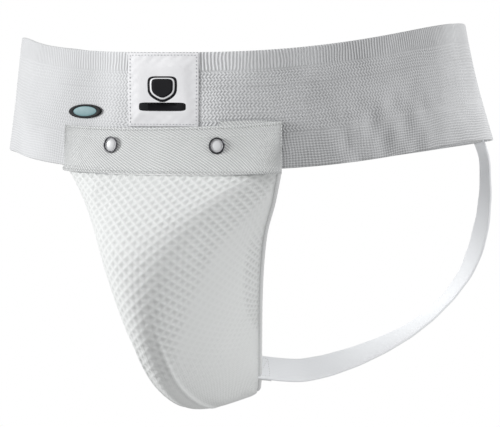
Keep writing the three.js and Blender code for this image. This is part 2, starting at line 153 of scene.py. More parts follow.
def band_point(angle, height, out):
    angle = np.asarray(angle, float)
    height = np.asarray(height, float)
    half_width = mix(BOTTOM_RING[0], TOP_RING[0], height)
    half_depth = mix(BOTTOM_RING[1], TOP_RING[1], height)
    sine, cosine = np.sin(np.radians(angle)), np.cos(np.radians(angle))
    x = half_width * signed_power(sine, 2 / SQUARENESS)
    y = -half_depth * signed_power(cosine, 2 / SQUARENESS)
    normal = unit(points(signed_power(x / half_width, SQUARENESS - 1) / half_width,
                         signed_power(y / half_depth, SQUARENESS - 1) / half_depth, 0))
    away = np.abs((angle + 180) % 360 - 180)
    flare = 6 * ease(80, 112, away) * (1 - ease(132, 165, away)) * (1 - height) ** 2
    z = band_rise(angle) + (height - 0.5) * band_height(angle)
    stand = (out + flare + band_softness(angle, height))[..., None]
    return points(x, y + BOTTOM_SET_BACK * (1 - height), z) + normal * stand


def band_front(x, z, out):
    """The same face from a distance across the front and a height above the origin."""
    height = np.full(np.shape(x), 0.5)
    for _ in range(6):
        half_width = mix(BOTTOM_RING[0], TOP_RING[0], height)
        angle = np.degrees(np.arcsin(signed_power(x / half_width, SQUARENESS / 2)))
        height = (z - band_rise(angle)) / band_height(angle) + 0.5
    return band_point(angle, height, out)


ring = band_point(np.linspace(0, 360, 721), np.full(721, 0.5), np.zeros(721))
GIRTH = float(np.linalg.norm(np.diff(ring, axis=0), axis=1).sum())
print(f"the band is {GIRTH:.0f} mm round")

# %% [markdown]
# ## The bowl of the pocket
#
# The pocket is a bowl that is open towards the body. Its two side edges and the crest down the middle
# of its front are smooth curves, and an arch joins the three at every station between the mouth
# (s = 0) and the tail (s = 1). A lean of -1 is the right edge, 0 the crest and 1 the left edge. Every
# layer of the pocket is the same bowl, a little further in.

# %% Smooth curves and the bowl
class SmoothLine:
    """A curve through all its points, with even speed between near and far ones."""

    def __init__(self, knots):
        knots = np.array(knots, float)
        self.knots = np.vstack([2 * knots[0] - knots[1], knots, 2 * knots[-1] - knots[-2]])
        self.spans = len(knots) - 1

    def at(self, share):
        share = np.clip(np.asarray(share, float), 0, 1) * self.spans
        first = np.minimum(share.astype(int), self.spans - 1)
        t = (share - first)[..., None]
        before, start, end, after = (self.knots[first + k] for k in range(4))
        gaps = [np.linalg.norm(b - a, axis=-1, keepdims=True) ** 0.5 for a, b in
                ((before, start), (start, end), (end, after))]
        leave = ((start - before) / gaps[0] - (end - before) / (gaps[0] + gaps[1])
                 + (end - start) / gaps[1]) * gaps[1]
        arrive = ((end - start) / gaps[1] - (after - start) / (gaps[1] + gaps[2])
                  + (after - end) / gaps[2]) * gaps[1]
        cubic = 2 * start - 2 * end + leave + arrive
        square = -3 * start + 3 * end - 2 * leave - arrive
        return start + t * (leave + t * (square + t * cubic))


SIDE_EDGE = SmoothLine([(80, -97, -40), (69.5, -82.5, -60), (59, -71, -79), (49.8, -56, -98),
                        (40, -37, -124), (32, -19, -153), (25.5, -4, -180), (19, 8, -190)])
CREST = SmoothLine([(0, -115, -43.5), (0, -129, -61), (0, -139.5, -80), (0, -146, -103),
                    (0, -142, -130), (0, -128, -158), (0, -98, -187), (0, -62, -201),
                    (0, -28, -202), (0, 4, -196)])


def squareness_at(s):
    return mix(2.25, 1.8, ease(0, 0.7, s))


def arch_point(s, lean):
    edge, crest = SIDE_EDGE.at(s), CREST.at(s)
    power = 2 / squareness_at(s)
    turn = np.asarray(lean, float) * np.pi / 2
    forward = np.abs(np.cos(turn)) ** power
    return points(edge[..., 0] * signed_power(np.sin(turn), power),
                  mix(edge[..., 1], crest[..., 1], forward),
                  mix(edge[..., 2], crest[..., 2], forward))


def arch_normal(s, lean):
    step = 0.004
    along = arch_point(np.maximum(s - step, 0), lean) - arch_point(np.minimum(s + step, 1), lean)
    held = np.clip(lean, -0.985, 0.985)
    across = arch_point(s, held + 0.01) - arch_point(s, held - 0.01)
    return unit(np.cross(across, along))


def bowl_point(s, lean, out):
    return arch_point(s, lean) + arch_normal(s, lean) * np.asarray(out, float)[..., None]


def bowl_depth(s):
    edge = SIDE_EDGE.at(s)
    edge[..., 0] = 0
    return np.linalg.norm(edge - CREST.at(s), axis=-1)


def lean_short_of(s, distance):
    """The lean at which the arch is a given distance short of the pocket's edge."""
    share = np.minimum(distance / bowl_depth(s), 0.9)
    return np.arccos(share ** (squareness_at(s) / 2)) / (np.pi / 2)


crest_line = CREST.at(np.linspace(0, 1, 401))
CREST_RUN = run_of(crest_line)
print(f"the pocket's crest is {CREST_RUN[-1]:.0f} mm long")

# %% [markdown]
# ## Cloth with a rounded edge
#
# A sheet of cloth is two faces with a soft edge between them. Blender's Solidify modifier could give
# the thickness, but its rim is square. Here both faces are placed by a formula, and near an edge they
# are drawn together along a quarter circle, so that light rolls over the edge as it does on knit.
# The sheet's own map is in millimetres of cloth, which lets a weave repeat at its real pitch.

# %% A sheet from a formula
def rows_of(length, step, rim):
    """Places along a strip, closer together at its two edges."""
    middle = np.linspace(rim, length - rim, max(3, round((length - 2 * rim) / step)))
    near = rim * np.array([0, 0.1, 0.4])
    return np.concatenate([near, middle, length - near[::-1]])


def mesh_object(name, vertices, faces, cloth_map, material):
    """A smooth mesh in metres from millimetre points, with one map corner for each face corner."""
    mesh = bpy.data.meshes.new(name)
    mesh.from_pydata((np.asarray(vertices) * MM).tolist(), [], faces)
    if cloth_map is not None:
        layer = mesh.uv_layers.new(name="cloth_mm")
        corners = np.zeros(len(mesh.loops), np.int64)
        mesh.loops.foreach_get("vertex_index", corners)
        layer.data.foreach_set("uv", np.asarray(cloth_map, np.float32)[corners].ravel())
    mesh.polygons.foreach_set("use_smooth", np.ones(len(mesh.polygons), bool))
    mesh.materials.append(material)
    mesh.update()
    piece = bpy.data.objects.new(name, mesh)
    bpy.context.scene.collection.objects.link(piece)
    return piece


def cloth(name, material, size, step, thickness, place, closed=False, rim=0.9, relief=None,
          cloth_places=None):
    """place(u, v, out) gives a point for u and v from 0 to 1; out is 0 on the outer face."""
    width, height = size
    if closed:
        across = np.linspace(0, width, round(width / step[0]) + 1)[:-1]
    else:
        across = rows_of(width, step[0], rim)
    upward = rows_of(height, step[1], rim)
    u, v = np.meshgrid(across, upward, indexing="ij")
    from_edge = np.minimum(v, height - v)
    if not closed:
        from_edge = np.minimum(from_edge, np.minimum(u, width - u))
    inward = 1 - np.clip(from_edge / rim, 0, 1)
    full = 0.15 + 0.85 * np.sqrt(1 - inward**2)
    raised = np.zeros_like(u) if relief is None else relief(u / width, v / height) * full
    outer = place(u / width, v / height, thickness / 2 * (full - 1) + raised)
    inner = place(u / width, v / height, -thickness / 2 * (full + 1))
    columns, rows = u.shape
    number = np.arange(columns * rows).reshape(columns, rows)
    ahead = np.roll(number, -1, axis=0)
    here, there = (number, ahead) if closed else (number[:-1], number[1:])
    second = columns * rows
    outside = np.stack([here[:, :-1], there[:, :-1], there[:, 1:], here[:, 1:]], -1)
    inside = outside[..., ::-1] + second
    bottom = np.stack([here[:, 0] + second, there[:, 0] + second, there[:, 0], here[:, 0]], -1)
    top = np.stack([here[:, -1], there[:, -1], there[:, -1] + second, here[:, -1] + second], -1)
    faces = [outside.reshape(-1, 4), inside.reshape(-1, 4), bottom, top]
    if not closed:
        first, last = number[0], number[-1]
        faces.append(np.stack([first[:-1], first[1:], first[1:] + second, first[:-1] + second], -1))
        faces.append(np.stack([last[:-1] + second, last[1:] + second, last[1:], last[:-1]], -1))
    if cloth_places is None:
        cloth_places = lambda share_u, share_v: np.stack([share_u * width, share_v * height], -1)
    flat_map = cloth_places(u / width, v / height).reshape(-1, 2)
    vertices = np.concatenate([outer.reshape(-1, 3), inner.reshape(-1, 3)])
    piece = mesh_object(name, vertices, np.concatenate(faces).tolist(), np.tile(flat_map, (2, 1)), material)
    print(f"{name}: {len(piece.data.polygons)} faces, {width:.0f} by {height:.0f} mm")
    return piece


def stand_in(piece, node):
    """The piece moves with the root body and is seen in place of a plain solid, which is hidden."""
    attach(piece, "root")
    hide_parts(node)
    return piece


# %% [markdown]
# ## Thread
#
# Stitches are what makes cloth look sewn. They could be painted on as a dotted line, but at a seam
# they stand proud and catch the light, so each is a small spindle of thread that dips into the cloth
# at both ends. One row of them is one mesh.

# %% A row of stitches
def stitches(name, material, path, outward, pitch, radius=0.28, share=0.7, slant=0.0):
    """path and outward are points and directions along the seam; slant leans each stitch sideways."""
    run = run_of(path)
    count = max(2, int(run[-1] / pitch))
    starts = (np.arange(count) + 0.15) * run[-1] / count
    begin, end = read_along(run, path, starts), read_along(run, path, starts + pitch * share)
    lift = unit(read_along(run, outward, starts))
    along = unit(end - begin)
    side = np.cross(lift, along)
    begin, end = begin - side * slant / 2, end + side * slant / 2
    stations = np.linspace(0, 1, 5)
    swell = np.array([0.4, 0.95, 1, 0.95, 0.4])
    height = np.array([-0.25, 0.12, 0.22, 0.12, -0.25])
    turns = np.radians(np.arange(6) * 60)
    middle = begin[:, None] + (end - begin)[:, None] * stations[None, :, None]
    middle = middle + lift[:, None] * (height * radius / 0.28)[None, :, None]
    circle = (side[:, None, None] * np.cos(turns)[None, None, :, None]
              + lift[:, None, None] * np.sin(turns)[None, None, :, None])
    vertices = middle[:, :, None] + circle * (radius * swell)[None, :, None, None]
    base = np.arange(count * 5 * 6).reshape(count, 5, 6)
    follow = np.roll(base, -1, axis=2)
    walls = np.stack([base[:, :-1], base[:, 1:], follow[:, 1:], follow[:, :-1]], -1).reshape(-1, 4)
    faces = walls.tolist() + base[:, 0].tolist() + base[:, -1, ::-1].tolist()
    return mesh_object(name, vertices.reshape(-1, 3), faces, None, material)


# %% [markdown]
# ## Finishes made of arithmetic
#
# A weave is a height that repeats: ribs are one wave, a twill is a wave along a slanted line, and a
# crimp is a rib that sways from side to side. Image textures would do, but arithmetic nodes stay sharp
# at any size and follow the cloth's own millimetre map. The same height drives the bump and darkens
# the hollows, because light doesn't get down between yarns.

# %% Arithmetic on a surface
class Quantity:
    """A number that a material works out at every place, written as plain arithmetic."""

    def __init__(self, finish, socket):
        self.finish = finish
        self.socket = socket

    def __add__(self, other):
        return self.finish.do("ADD", self, other)

    def __sub__(self, other):
        return self.finish.do("SUBTRACT", self, other)

    def __rsub__(self, other):
        return self.finish.do("SUBTRACT", other, self)

    def __mul__(self, other):
        return self.finish.do("MULTIPLY", self, other)

    def __abs__(self):
        return self.finish.do("ABSOLUTE", self)

    __radd__ = __add__
    __rmul__ = __mul__


# %% A small kit for writing patterns
class Finish:
    """One material and the arithmetic that goes into it."""

    def __init__(self, name, colour, roughness, sheen=0.0, specular=0.3):
        self.material = bpy.data.materials.new(name)
        self.material.use_nodes = True
        self.tree = self.material.node_tree
        self.shader = self.tree.nodes["Principled BSDF"]
        self.shader.inputs["Base Color"].default_value = (*colour, 1)
        self.shader.inputs["Roughness"].default_value = roughness
        self.shader.inputs["Specular IOR Level"].default_value = specular
        self.shader.inputs["Sheen Weight"].default_value = sheen
        self.shader.inputs["Sheen Roughness"].default_value = 0.5
        self.material.diffuse_color = (*colour, 1)

    def do(self, operation, *values):
        node = self.tree.nodes.new("ShaderNodeMath")
        node.operation = operation
        for socket, value in zip(node.inputs, values):
            if isinstance(value, Quantity):
                self.tree.links.new(value.socket, socket)
            else:
                socket.default_value = value
        return Quantity(self, node.outputs[0])

    def wave(self, place, pitch):
        """A smooth wave from 0 to 1 that repeats every pitch."""
        return self.do("SINE", place * (2 * math.pi / pitch)) * 0.5 + 0.5

    def sway(self, place, pitch, reach):
        """A zigzag from -reach to reach."""
        return self.do("PINGPONG", place, pitch / 2) * (4 * reach / pitch) - reach

    def between(self, low, high, value):
        """0 at low, 1 at high, and eased between the two."""
        node = self.tree.nodes.new("ShaderNodeMapRange")
        node.interpolation_type = "SMOOTHSTEP"
        node.inputs["From Min"].default_value = low
        node.inputs["From Max"].default_value = high
        self.tree.links.new(value.socket, node.inputs["Value"])
        return Quantity(self, node.outputs["Result"])

    def cloth_map(self):
        node = self.tree.nodes.new("ShaderNodeUVMap")
        node.uv_map = "cloth_mm"
        split = self.tree.nodes.new("ShaderNodeSeparateXYZ")
        self.tree.links.new(node.outputs["UV"], split.inputs[0])
        return Quantity(self, split.outputs["X"]), Quantity(self, split.outputs["Y"])

    def noise(self, scale, detail=2.0):
        """Soft patches in the object's own space; scale is in repeats for each metre."""
        place = self.tree.nodes.new("ShaderNodeTexCoord")
        node = self.tree.nodes.new("ShaderNodeTexNoise")
        node.inputs["Scale"].default_value = scale
        node.inputs["Detail"].default_value = detail
        self.tree.links.new(place.outputs["Object"], node.inputs["Vector"])
        return Quantity(self, node.outputs["Fac"])

    def paint(self, share, dark, light):
        node = self.tree.nodes.new("ShaderNodeMix")
        node.data_type = "RGBA"
        node.clamp_factor = True
        node.inputs["A"].default_value = (*dark, 1)
        node.inputs["B"].default_value = (*light, 1)
        self.tree.links.new(share.socket, node.inputs["Factor"])
        self.tree.links.new(node.outputs["Result"], self.shader.inputs["Base Color"])

    def bump(self, height, depth_mm, strength=1.0):
        node = self.tree.nodes.new("ShaderNodeBump")
        node.inputs["Strength"].default_value = strength
        node.inputs["Distance"].default_value = depth_mm * MM
        self.tree.links.new(height.socket, node.inputs["Height"])
        self.tree.links.new(node.outputs["Normal"], self.shader.inputs["Normal"])

    def rough(self, share, low, high):
        node = self.tree.nodes.new("ShaderNodeMapRange")
        node.inputs["To Min"].default_value = low
        node.inputs["To Max"].default_value = high
        self.tree.links.new(share.socket, node.inputs["Value"])
        self.tree.links.new(node.outputs["Result"], self.shader.inputs["Roughness"])


def darker(colour, share):
    return tuple(part * share for part in colour)


# %% [markdown]
# ## The knit of the waistband
#
# The band is knitted in strips: upright ribs along its upper edge, then ribs that sway into a
# zigzag where the rubber yarns gather them, and a finer grid near the lower edge. Three fabrics could
# be joined, but the real band is one knit, so one finish changes its pattern with height. A welt, a
# thin groove, parts the strips. Over the hips the knit is drawn open, which makes it flatter there.

# %% Waistband finish
BAND_WHITE = (0.80, 0.81, 0.825)
WELTS = (67.0, 55.5, 24.0)
RIB_PITCH, CRIMP_PITCH, CRIMP_LENGTH, CRIMP_REACH = 2.1, 2.2, 4.0, 0.75


def waistband_finish():
    finish = Finish("knitted_elastic", BAND_WHITE, 0.9, sheen=0.25)
    u, v = finish.cloth_map()
    drift = finish.noise(24, 2) - 0.5
    shiver = finish.noise(150, 2) - 0.5
    u = u + drift * 7.0 + shiver * 1.1
    v_drawn = v + drift * -5.0 + shiver * 0.9
    ribs = finish.wave(u, RIB_PITCH)
    swaying = finish.wave(u + finish.sway(v_drawn, CRIMP_LENGTH, CRIMP_REACH), CRIMP_PITCH)
    crimp = swaying * 0.68 + finish.wave(v_drawn, 2.0) * 0.32
    grid = finish.wave(v_drawn, 1.7) * 0.62 + finish.wave(u, 2.0) * 0.38
    low = finish.between(27, 21, v + drift * 14.0)
    high = finish.between(65.5, 68, v)
    height = mix(mix(crimp, grid, low), ribs, high)
    for welt in WELTS:
        height = height * (finish.between(0, 0.9, abs(v - welt)) * 0.45 + 0.55)
    from_front = finish.do("PINGPONG", u, GIRTH / 2)
    # On the wearer's right half, which faces the key lamp, the knit's hollows are made half as deep in bump
    # and colour, so that side is painted lighter.
    lit_right_half = finish.between(GIRTH / 2 - 20, GIRTH / 2 + 20, u) * finish.between(0, 40, from_front)
    hip = finish.between(180, 280, from_front)
    calm = (1 - lit_right_half * 0.5) * (1 - hip * 0.5)
    height = 1 - (1 - height) * calm
    patches = finish.between(0.3, 0.7, finish.noise(30, 3))
    shade = 1 - (1 - height) * (patches * 0.55 + 0.6)
    # Between the front and the hips the band's colour is made up to a third darker: painted shade on the
    # sides of the band.
    painted_side_shade = finish.between(20, 60, from_front) * finish.between(260, 170, from_front)
    shade = shade * (1 - painted_side_shade * 0.33)
    finish.paint(shade, darker(BAND_WHITE, 0.47), BAND_WHITE)
    finish.bump(height, 0.55, 1.0)
    finish.rough(height, 0.98, 0.82)
    return finish.material


KNITTED_ELASTIC = waistband_finish()

# %% Waistband
waistband = cloth(
    "waistband_knit", KNITTED_ELASTIC, (GIRTH, BAND_HEIGHT), (1.6, 1.9), BAND_THICKNESS,
    lambda u, v, out: band_point(u * 360, v, out), closed=True, rim=1.2,
)
# The faces that close the ring go on past its full girth, or the whole knit would be squeezed into them.
seam_corner = waistband.data.uv_layers["cloth_mm"].data
uv = np.zeros(len(seam_corner) * 2, np.float32)
seam_corner.foreach_get("uv", uv)
uv = uv.reshape(-1, 4, 2)
wrapped = np.ptp(uv[..., 0], axis=1) > GIRTH / 2
uv[wrapped, :, 0] = np.where(uv[wrapped, :, 0] < GIRTH / 2, uv[wrapped, :, 0] + GIRTH, uv[wrapped, :, 0])
seam_corner.foreach_set("uv", uv.ravel())
stand_in(waistband, "waistband_elastic")

# %% [markdown]
# ## Plainer finishes: thread, woven elastic, tricot
#
# Sewing thread is a twisted polyester with a slight shine. The leg straps are woven elastic, smooth,
# with fine lines along their length. The pocket's lining is tricot, a thin knit with tiny ribs.

# %% Thread, strap, lining and binding finishes
def thread_finish(name, colour):
    finish = Finish(name, colour, 0.55, sheen=0.15, specular=0.4)
    twist = finish.noise(2600, 1)
    finish.bump(twist, 0.08, 0.6)
    return finish.material


def line_weave(name, colour, along, across, depth, dark):
    """A fine weave: along is the pitch of the lines down its length, across the pitch of its rows."""
    finish = Finish(name, colour, 0.8, sheen=0.3)
    u, v = finish.cloth_map()
    height = finish.wave(v, along) * 0.6 + finish.wave(u, across) * 0.4
    finish.paint(height + finish.noise(60, 2) * 0.25, darker(colour, dark), colour)
    finish.bump(height, depth, 0.8)
    finish.rough(height, 0.9, 0.7)
    return finish.material


WHITE_THREAD = thread_finish("white_thread", (0.82, 0.83, 0.83))
GREY_THREAD = thread_finish("shadowed_thread", (0.36, 0.37, 0.39))
STRAP_ELASTIC = line_weave("woven_strap_elastic", (0.90, 0.915, 0.935), 1.2, 0.9, 0.05, 0.95)
TRICOT = line_weave("tricot_lining", (0.74, 0.75, 0.75), 1.0, 1.6, 0.12, 0.8)
BINDING_KNIT = line_weave("edge_binding_knit", (0.76, 0.77, 0.77), 1.4, 1.4, 0.2, 0.75)


# %% [markdown]
# ## Label and badge
#
# A satin label is sewn over the middle of the band with a visible row of stitches on all four sides.
# Satin is woven so that long floats lie on top, which gives it a soft shine across its width. The
# print on it here is a plain shield over a plain bar, with no lettering. Beside the label a small oval
# badge of moulded rubber has a raised black rim round a teal middle.

# %% Satin label
LABEL_MIDDLE, LABEL_WIDTH, LABEL_HEIGHT, LABEL_THICKNESS = -2.8, 54.0, 50.0, 0.6
LABEL_TOP = BAND_HEIGHT / 2 - 0.6


def satin_finish():
    finish = Finish("satin_label_cloth", (0.86, 0.86, 0.865), 0.42, sheen=0.1, specular=0.5)
    floats = finish.wave(finish.cloth_map()[0], 0.7)
    finish.paint(floats * 0.3 + 0.72, (0.62, 0.63, 0.66), (0.76, 0.76, 0.775))
    finish.bump(floats + finish.noise(45, 2) * 6.0, 0.12, 0.5)
    finish.shader.inputs["Anisotropic"].default_value = 0.5
    return finish.material


def label_swell(u, v):
    """The sewn edges pull the satin down and its middle stands a little proud, with small puckers."""
    from_edge = np.minimum(np.minimum(u, 1 - u) * LABEL_WIDTH, np.minimum(v, 1 - v) * LABEL_HEIGHT)
    pillow = 0.55 * ease(1.0, 12.0, from_edge)
    near_seam = ease(0.5, 2.0, from_edge) * (1 - ease(3.0, 12.0, from_edge))
    creases = 0.4 * np.sin(8 * u + 3 * v) * ease(2, 10, from_edge)
    return pillow + creases + 0.1 * near_seam * np.sin(v * 46) * np.sin(u * 39)


def on_label(x_share, y_share, out):
    return band_front(LABEL_MIDDLE + LABEL_WIDTH * (x_share - 0.5),
                      LABEL_TOP - LABEL_HEIGHT * (1 - y_share), FIT_GAP + LABEL_THICKNESS + out)


SATIN = satin_finish()
label = cloth("satin_label", SATIN, (LABEL_WIDTH, LABEL_HEIGHT), (0.9, 0.9), LABEL_THICKNESS,
              on_label, rim=0.5, relief=label_swell)
stand_in(label, "front_label")

# %% Label stitches
def seam_on(place, corners, lift=0.0, count=60):
    """Points and outward directions along straight runs between corners of a (u, v) face."""
    runs = [np.linspace(a, b, count, endpoint=False) for a, b in zip(corners, corners[1:])]
    line = np.array([*np.concatenate(runs), corners[-1]], float)
    low = place(line[:, 0], line[:, 1], np.full(len(line), lift))
    high = place(line[:, 0], line[:, 1], np.full(len(line), lift + 1.0))
    return low, unit(high - low)


inset_x, inset_y = 1.6 / LABEL_WIDTH, 1.6 / LABEL_HEIGHT
border = [(inset_x, inset_y), (1 - inset_x, inset_y), (1 - inset_x, 1 - inset_y),
          (inset_x, 1 - inset_y), (inset_x, inset_y)]
label_path, label_out = seam_on(on_label, border, 0.05)
label_seam = stitches("label_stitching", GREY_THREAD, label_path, label_out, 2.5, radius=0.22, share=0.5)
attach(label_seam, "root")

# %% Printed shield and bar
INK = Finish("black_print", (0.008, 0.008, 0.01), 0.7, specular=0.12)
INK.bump(INK.noise(900, 2), 0.05, 0.4)


def capped_rings(name, rings, material, body="root"):
    """A low solid from rings of points, each joined to the next, with both ends closed."""
    size, last = len(rings[0]), len(rings) - 1
    faces = [[i * size + j, i * size + (j + 1) % size, (i + 1) * size + (j + 1) % size, (i + 1) * size + j]
             for i in range(last) for j in range(size)]
    faces.append([last * size + j for j in range(size)])
    faces.append([size - 1 - j for j in range(size)])
    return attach(mesh_object(name, np.concatenate(rings), faces, None, material), body)


def printed(name, outline, material, lift=0.1):
    """A thin raised print on the label from an outline in millimetres about the label's middle."""
    outline = np.array(outline, float)
    middle = outline.mean(axis=0)
    rings = []
    for share, up in ((1.0, 0.0), (0.985, lift), (0.75, lift), (0.5, lift), (0.25, lift), (0.03, lift)):
        flat = middle + (outline - middle) * share
        x, y = flat[:, 0] / LABEL_WIDTH + 0.5, flat[:, 1] / LABEL_HEIGHT + 0.5
        rings.append(on_label(x, y, label_swell(x, y) + up))
    return capped_rings(name, rings, material)


SHIELD_MIDDLE, SHIELD_HALF_WIDTH, SHIELD_ABOVE, SHIELD_BELOW = 2.6, 11.5, 6.5, 11
turns = np.radians(np.arange(0, 360, 5))
shield = []
for turn in turns:
    x, y = math.cos(turn), math.sin(turn)
    pointed = 1 if y > 0 else 1 - 0.75 * abs(y) ** 1.6
    reach = SHIELD_ABOVE if y > 0 else SHIELD_BELOW
    shield.append((SHIELD_HALF_WIDTH * signed_power(x, 0.35) * pointed,
                   SHIELD_MIDDLE + reach * signed_power(y, 0.5)))
line, field = ([(share * x, SHIELD_MIDDLE + share * (y - SHIELD_MIDDLE)) for x, y in shield]
               for share in (0.84, 0.74))
bar = [(18 * signed_power(math.cos(t), 0.25), -11.6 + 2.9 * signed_power(math.sin(t), 0.4)) for t in turns]
printed("label_print_shield", shield, INK.material)
printed("label_print_line", line, SATIN, lift=0.18)
printed("label_print_field", field, INK.material, lift=0.26)
printed("label_print_bar", bar, INK.material)
print("label, its stitches and its print are on")

# %% Oval badge
BADGE_MIDDLE, BADGE_SIZE = (-67.5, 0.0), (30.0, 9.7)


def moulded(name, colour, roughness, specular=0.5):
    finish = Finish(name, colour, roughness, specular=specular)
    finish.bump(finish.noise(1400, 3), 0.06, 0.5)
    finish.rough(finish.noise(160, 2), roughness - 0.08, roughness + 0.1)
    return finish.material


def badge_ring(share, out, count=72):
    turn = np.radians(np.arange(count) * 360 / count)
    return band_front(BADGE_MIDDLE[0] + BADGE_SIZE[0] / 2 * share * np.cos(turn),
                      BADGE_MIDDLE[1] + BADGE_SIZE[1] / 2 * share * np.sin(turn),
                      np.full(count, FIT_GAP + out))


def badge_piece(name, profile, material):
    return capped_rings(name, [badge_ring(share, out) for share, out in profile], material)


BLACK_RUBBER = moulded("black_rubber", (0.004, 0.005, 0.006), 0.6, 0.2)
TEAL_RUBBER = moulded("teal_rubber", (0.14, 0.26, 0.28), 0.5)
badge = badge_piece("oval_badge_rim", [(0.97, 0), (1.0, 0.25), (0.995, 0.8), (0.95, 1.1), (0.78, 1.1),
                                       (0.72, 0.75), (0.5, 0.7), (0.3, 0.7), (0.05, 0.7)], BLACK_RUBBER)
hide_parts("oval_badge")
badge_piece("oval_badge_middle", [(0.71, 0.6), (0.7, 0.86), (0.66, 0.95), (0.45, 1.05), (0.25, 1.1),
                                  (0.04, 1.12)], TEAL_RUBBER)

# %% Rear seam tape
TAPE_HALF_ANGLE = 6.5
tape_edges = [band_point(np.array(180 + way * TAPE_HALF_ANGLE), np.array(0.5), np.array(0.0))
              for way in (-1, 1)]
tape_width = float(np.linalg.norm(tape_edges[0] - tape_edges[1]))


def on_tape(u, v, out):
    return band_point(180 + TAPE_HALF_ANGLE * (1 - 2 * u), mix(0.03, 0.97, v),
                      -BAND_THICKNESS - FIT_GAP - 1.0 - out)


tape = cloth("waistband_rear_tape", BINDING_KNIT, (tape_width, 69.0), (1.2, 1.2), 1.0, on_tape, rim=0.5)
stand_in(tape, "waistband_seam_tape")
for name, where in (("tape_stitching_a", 0.07), ("tape_stitching_b", 0.93), ("tape_stitching_c", 0.5)):
    path, out = seam_on(on_tape, [(where, 0.03), (where, 0.97)], 0.05)
    row = stitches(name, WHITE_THREAD, path, out, 2.6, radius=0.3, slant=1.4)
    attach(row, "root")

# %% [markdown]
# ## How the pocket settles over the cup
#
# The mesh is sewn down all round and stretched over a hard cup, so it bellies out a little between
# its seams and stands in small puckers beside them. A cloth simulation finds that: a coarse copy of
# the bowl is pinned at its seams, given a little slack and a light pressure from within, and stepped
# for twenty frames. Only how far each place has moved is kept, because the cup below decides the
# shape: at most 2.5 mm outwards and 0.5 mm inwards, then evened out between neighbours.

# %% Simulate the pocket's slack
SLACK_COLUMNS, SLACK_ROWS = 44, 52
SLACK_STEPS = 20
FARTHEST_OUT, FARTHEST_IN = 2.5, -0.5


def pocket_slack():
    lean, s = np.meshgrid(np.linspace(-1, 1, SLACK_COLUMNS + 1), np.linspace(0, 1, SLACK_ROWS + 1),
                          indexing="ij")
    rest = bowl_point(s, lean, np.zeros_like(s))
    number = np.arange(rest[..., 0].size).reshape(s.shape)
    faces = np.stack([number[:-1, :-1], number[1:, :-1], number[1:, 1:], number[:-1, 1:]], -1)
    trial = mesh_object("pocket_trial", rest.reshape(-1, 3), faces.reshape(-1, 4).tolist(), None,
                        WHITE_THREAD)
    sewn = trial.vertex_groups.new(name="sewn")
    held = (np.abs(lean) > 0.999) | (s < 0.001) | (s > 0.999)
    sewn.add([int(i) for i in number[held]], 1.0, "REPLACE")
    cloth_step = trial.modifiers.new("cloth", "CLOTH")
    fabric = cloth_step.settings
    fabric.quality = 6
    fabric.mass = 0.15
    fabric.tension_stiffness = 12
    fabric.compression_stiffness = 12
    fabric.bending_stiffness = 0.3
    fabric.vertex_group_mass = "sewn"
    fabric.shrink_min = -0.02
    fabric.use_pressure = True
    fabric.uniform_pressure_force = 1.6
    fabric.effector_weights.gravity = 0
    cloth_step.collision_settings.use_self_collision = False
    scene = bpy.context.scene
    for step in range(1, SLACK_STEPS + 1):
        scene.frame_set(step)
    settled = trial.evaluated_get(bpy.context.evaluated_depsgraph_get())
    moved = np.array([v.co for v in settled.data.vertices]) / MM
    scene.frame_set(1)
    bpy.data.objects.remove(trial)
    out = ((moved.reshape(rest.shape) - rest) * arch_normal(s, lean)).sum(-1)
    out = np.maximum(FARTHEST_OUT * np.tanh(out / FARTHEST_OUT), FARTHEST_IN)
    for _ in range(3):
        out[1:-1] = mix(out[1:-1], (out[2:] + out[:-2]) / 2, 0.5)
        out[:, 1:-1] = mix(out[:, 1:-1], (out[:, 2:] + out[:, :-2]) / 2, 0.5)
    return out


SLACK = pocket_slack()
print(f"the pocket moved {SLACK.min():.2f} to {SLACK.max():.2f} mm at its seams and over the cup")


def slack_at(s, lean):
    """The settled cloth's distance from the bowl, read between the coarse copy's points."""
    i = np.clip((np.asarray(lean) + 1) / 2, 0, 1) * SLACK_COLUMNS
    j = np.clip(s, 0, 1) * SLACK_ROWS
    i0, j0 = np.minimum(i.astype(int), SLACK_COLUMNS - 1), np.minimum(j.astype(int), SLACK_ROWS - 1)
    a, b = ease(0, 1, i - i0), ease(0, 1, j - j0)
    return mix(mix(SLACK[i0, j0], SLACK[i0 + 1, j0], a), mix(SLACK[i0, j0 + 1], SLACK[i0 + 1, j0 + 1], a), b)


# %% [markdown]
# ## The pocket's mesh
#
# The mesh is a thick knit with pits in a diamond lattice. The pits are about 5.5 mm apart and large
# enough to show in the outline, so they are real hollows in the mesh and not only a bump. To keep the
# lattice regular while the pocket narrows, its places are measured along the cloth: across from the
# crest, and down from the mouth. Each row simply runs out at the seam, as cut cloth does. The pits are
# deepest on the front panel, an inverted triangle, and show again in a strip down each side. Below the
# triangle two raised seams run side by side towards the tail.

# %% Pocket mesh
PIT_ACROSS, PIT_DOWN, PIT_DEPTH = 8.2, 7.2, 0.55
MESH_THICKNESS = 1.6
PANEL_LENGTH, PANEL_SPREAD, PANEL_POINT, PANEL_CURVE = 165.0, 92.0, 5.0, 0.97
PANEL_SEAM, SEAM_HEIGHT, SEAM_WIDTH = 10.0, 1.15, 1.8
CREASE_DEPTH, CREASE_WIDTH = 0.15, 5.5
POCKET_WIDTH = 205.0


def run_across(s, lean):
    """Signed distance over the cloth from the crest, in millimetres."""
    steps = 48
    shares = np.linspace(0, 1, steps + 1)
    walk = bowl_point(s[..., None] * np.ones(steps + 1), np.abs(lean)[..., None] * shares,
                      np.zeros((*np.shape(s), steps + 1)))
    return np.sign(lean) * np.linalg.norm(np.diff(walk, axis=-2), axis=-1).sum(-1)


def pocket_places(u, v):
    lean, s = 2 * u - 1, 1 - v
    return np.stack([run_across(s, lean), np.interp(s, np.linspace(0, 1, 401), CREST_RUN)], -1)


def panel_half_width(down):
    return PANEL_POINT + PANEL_SPREAD * np.clip(1 - down / PANEL_LENGTH, 0, 1) ** PANEL_CURVE


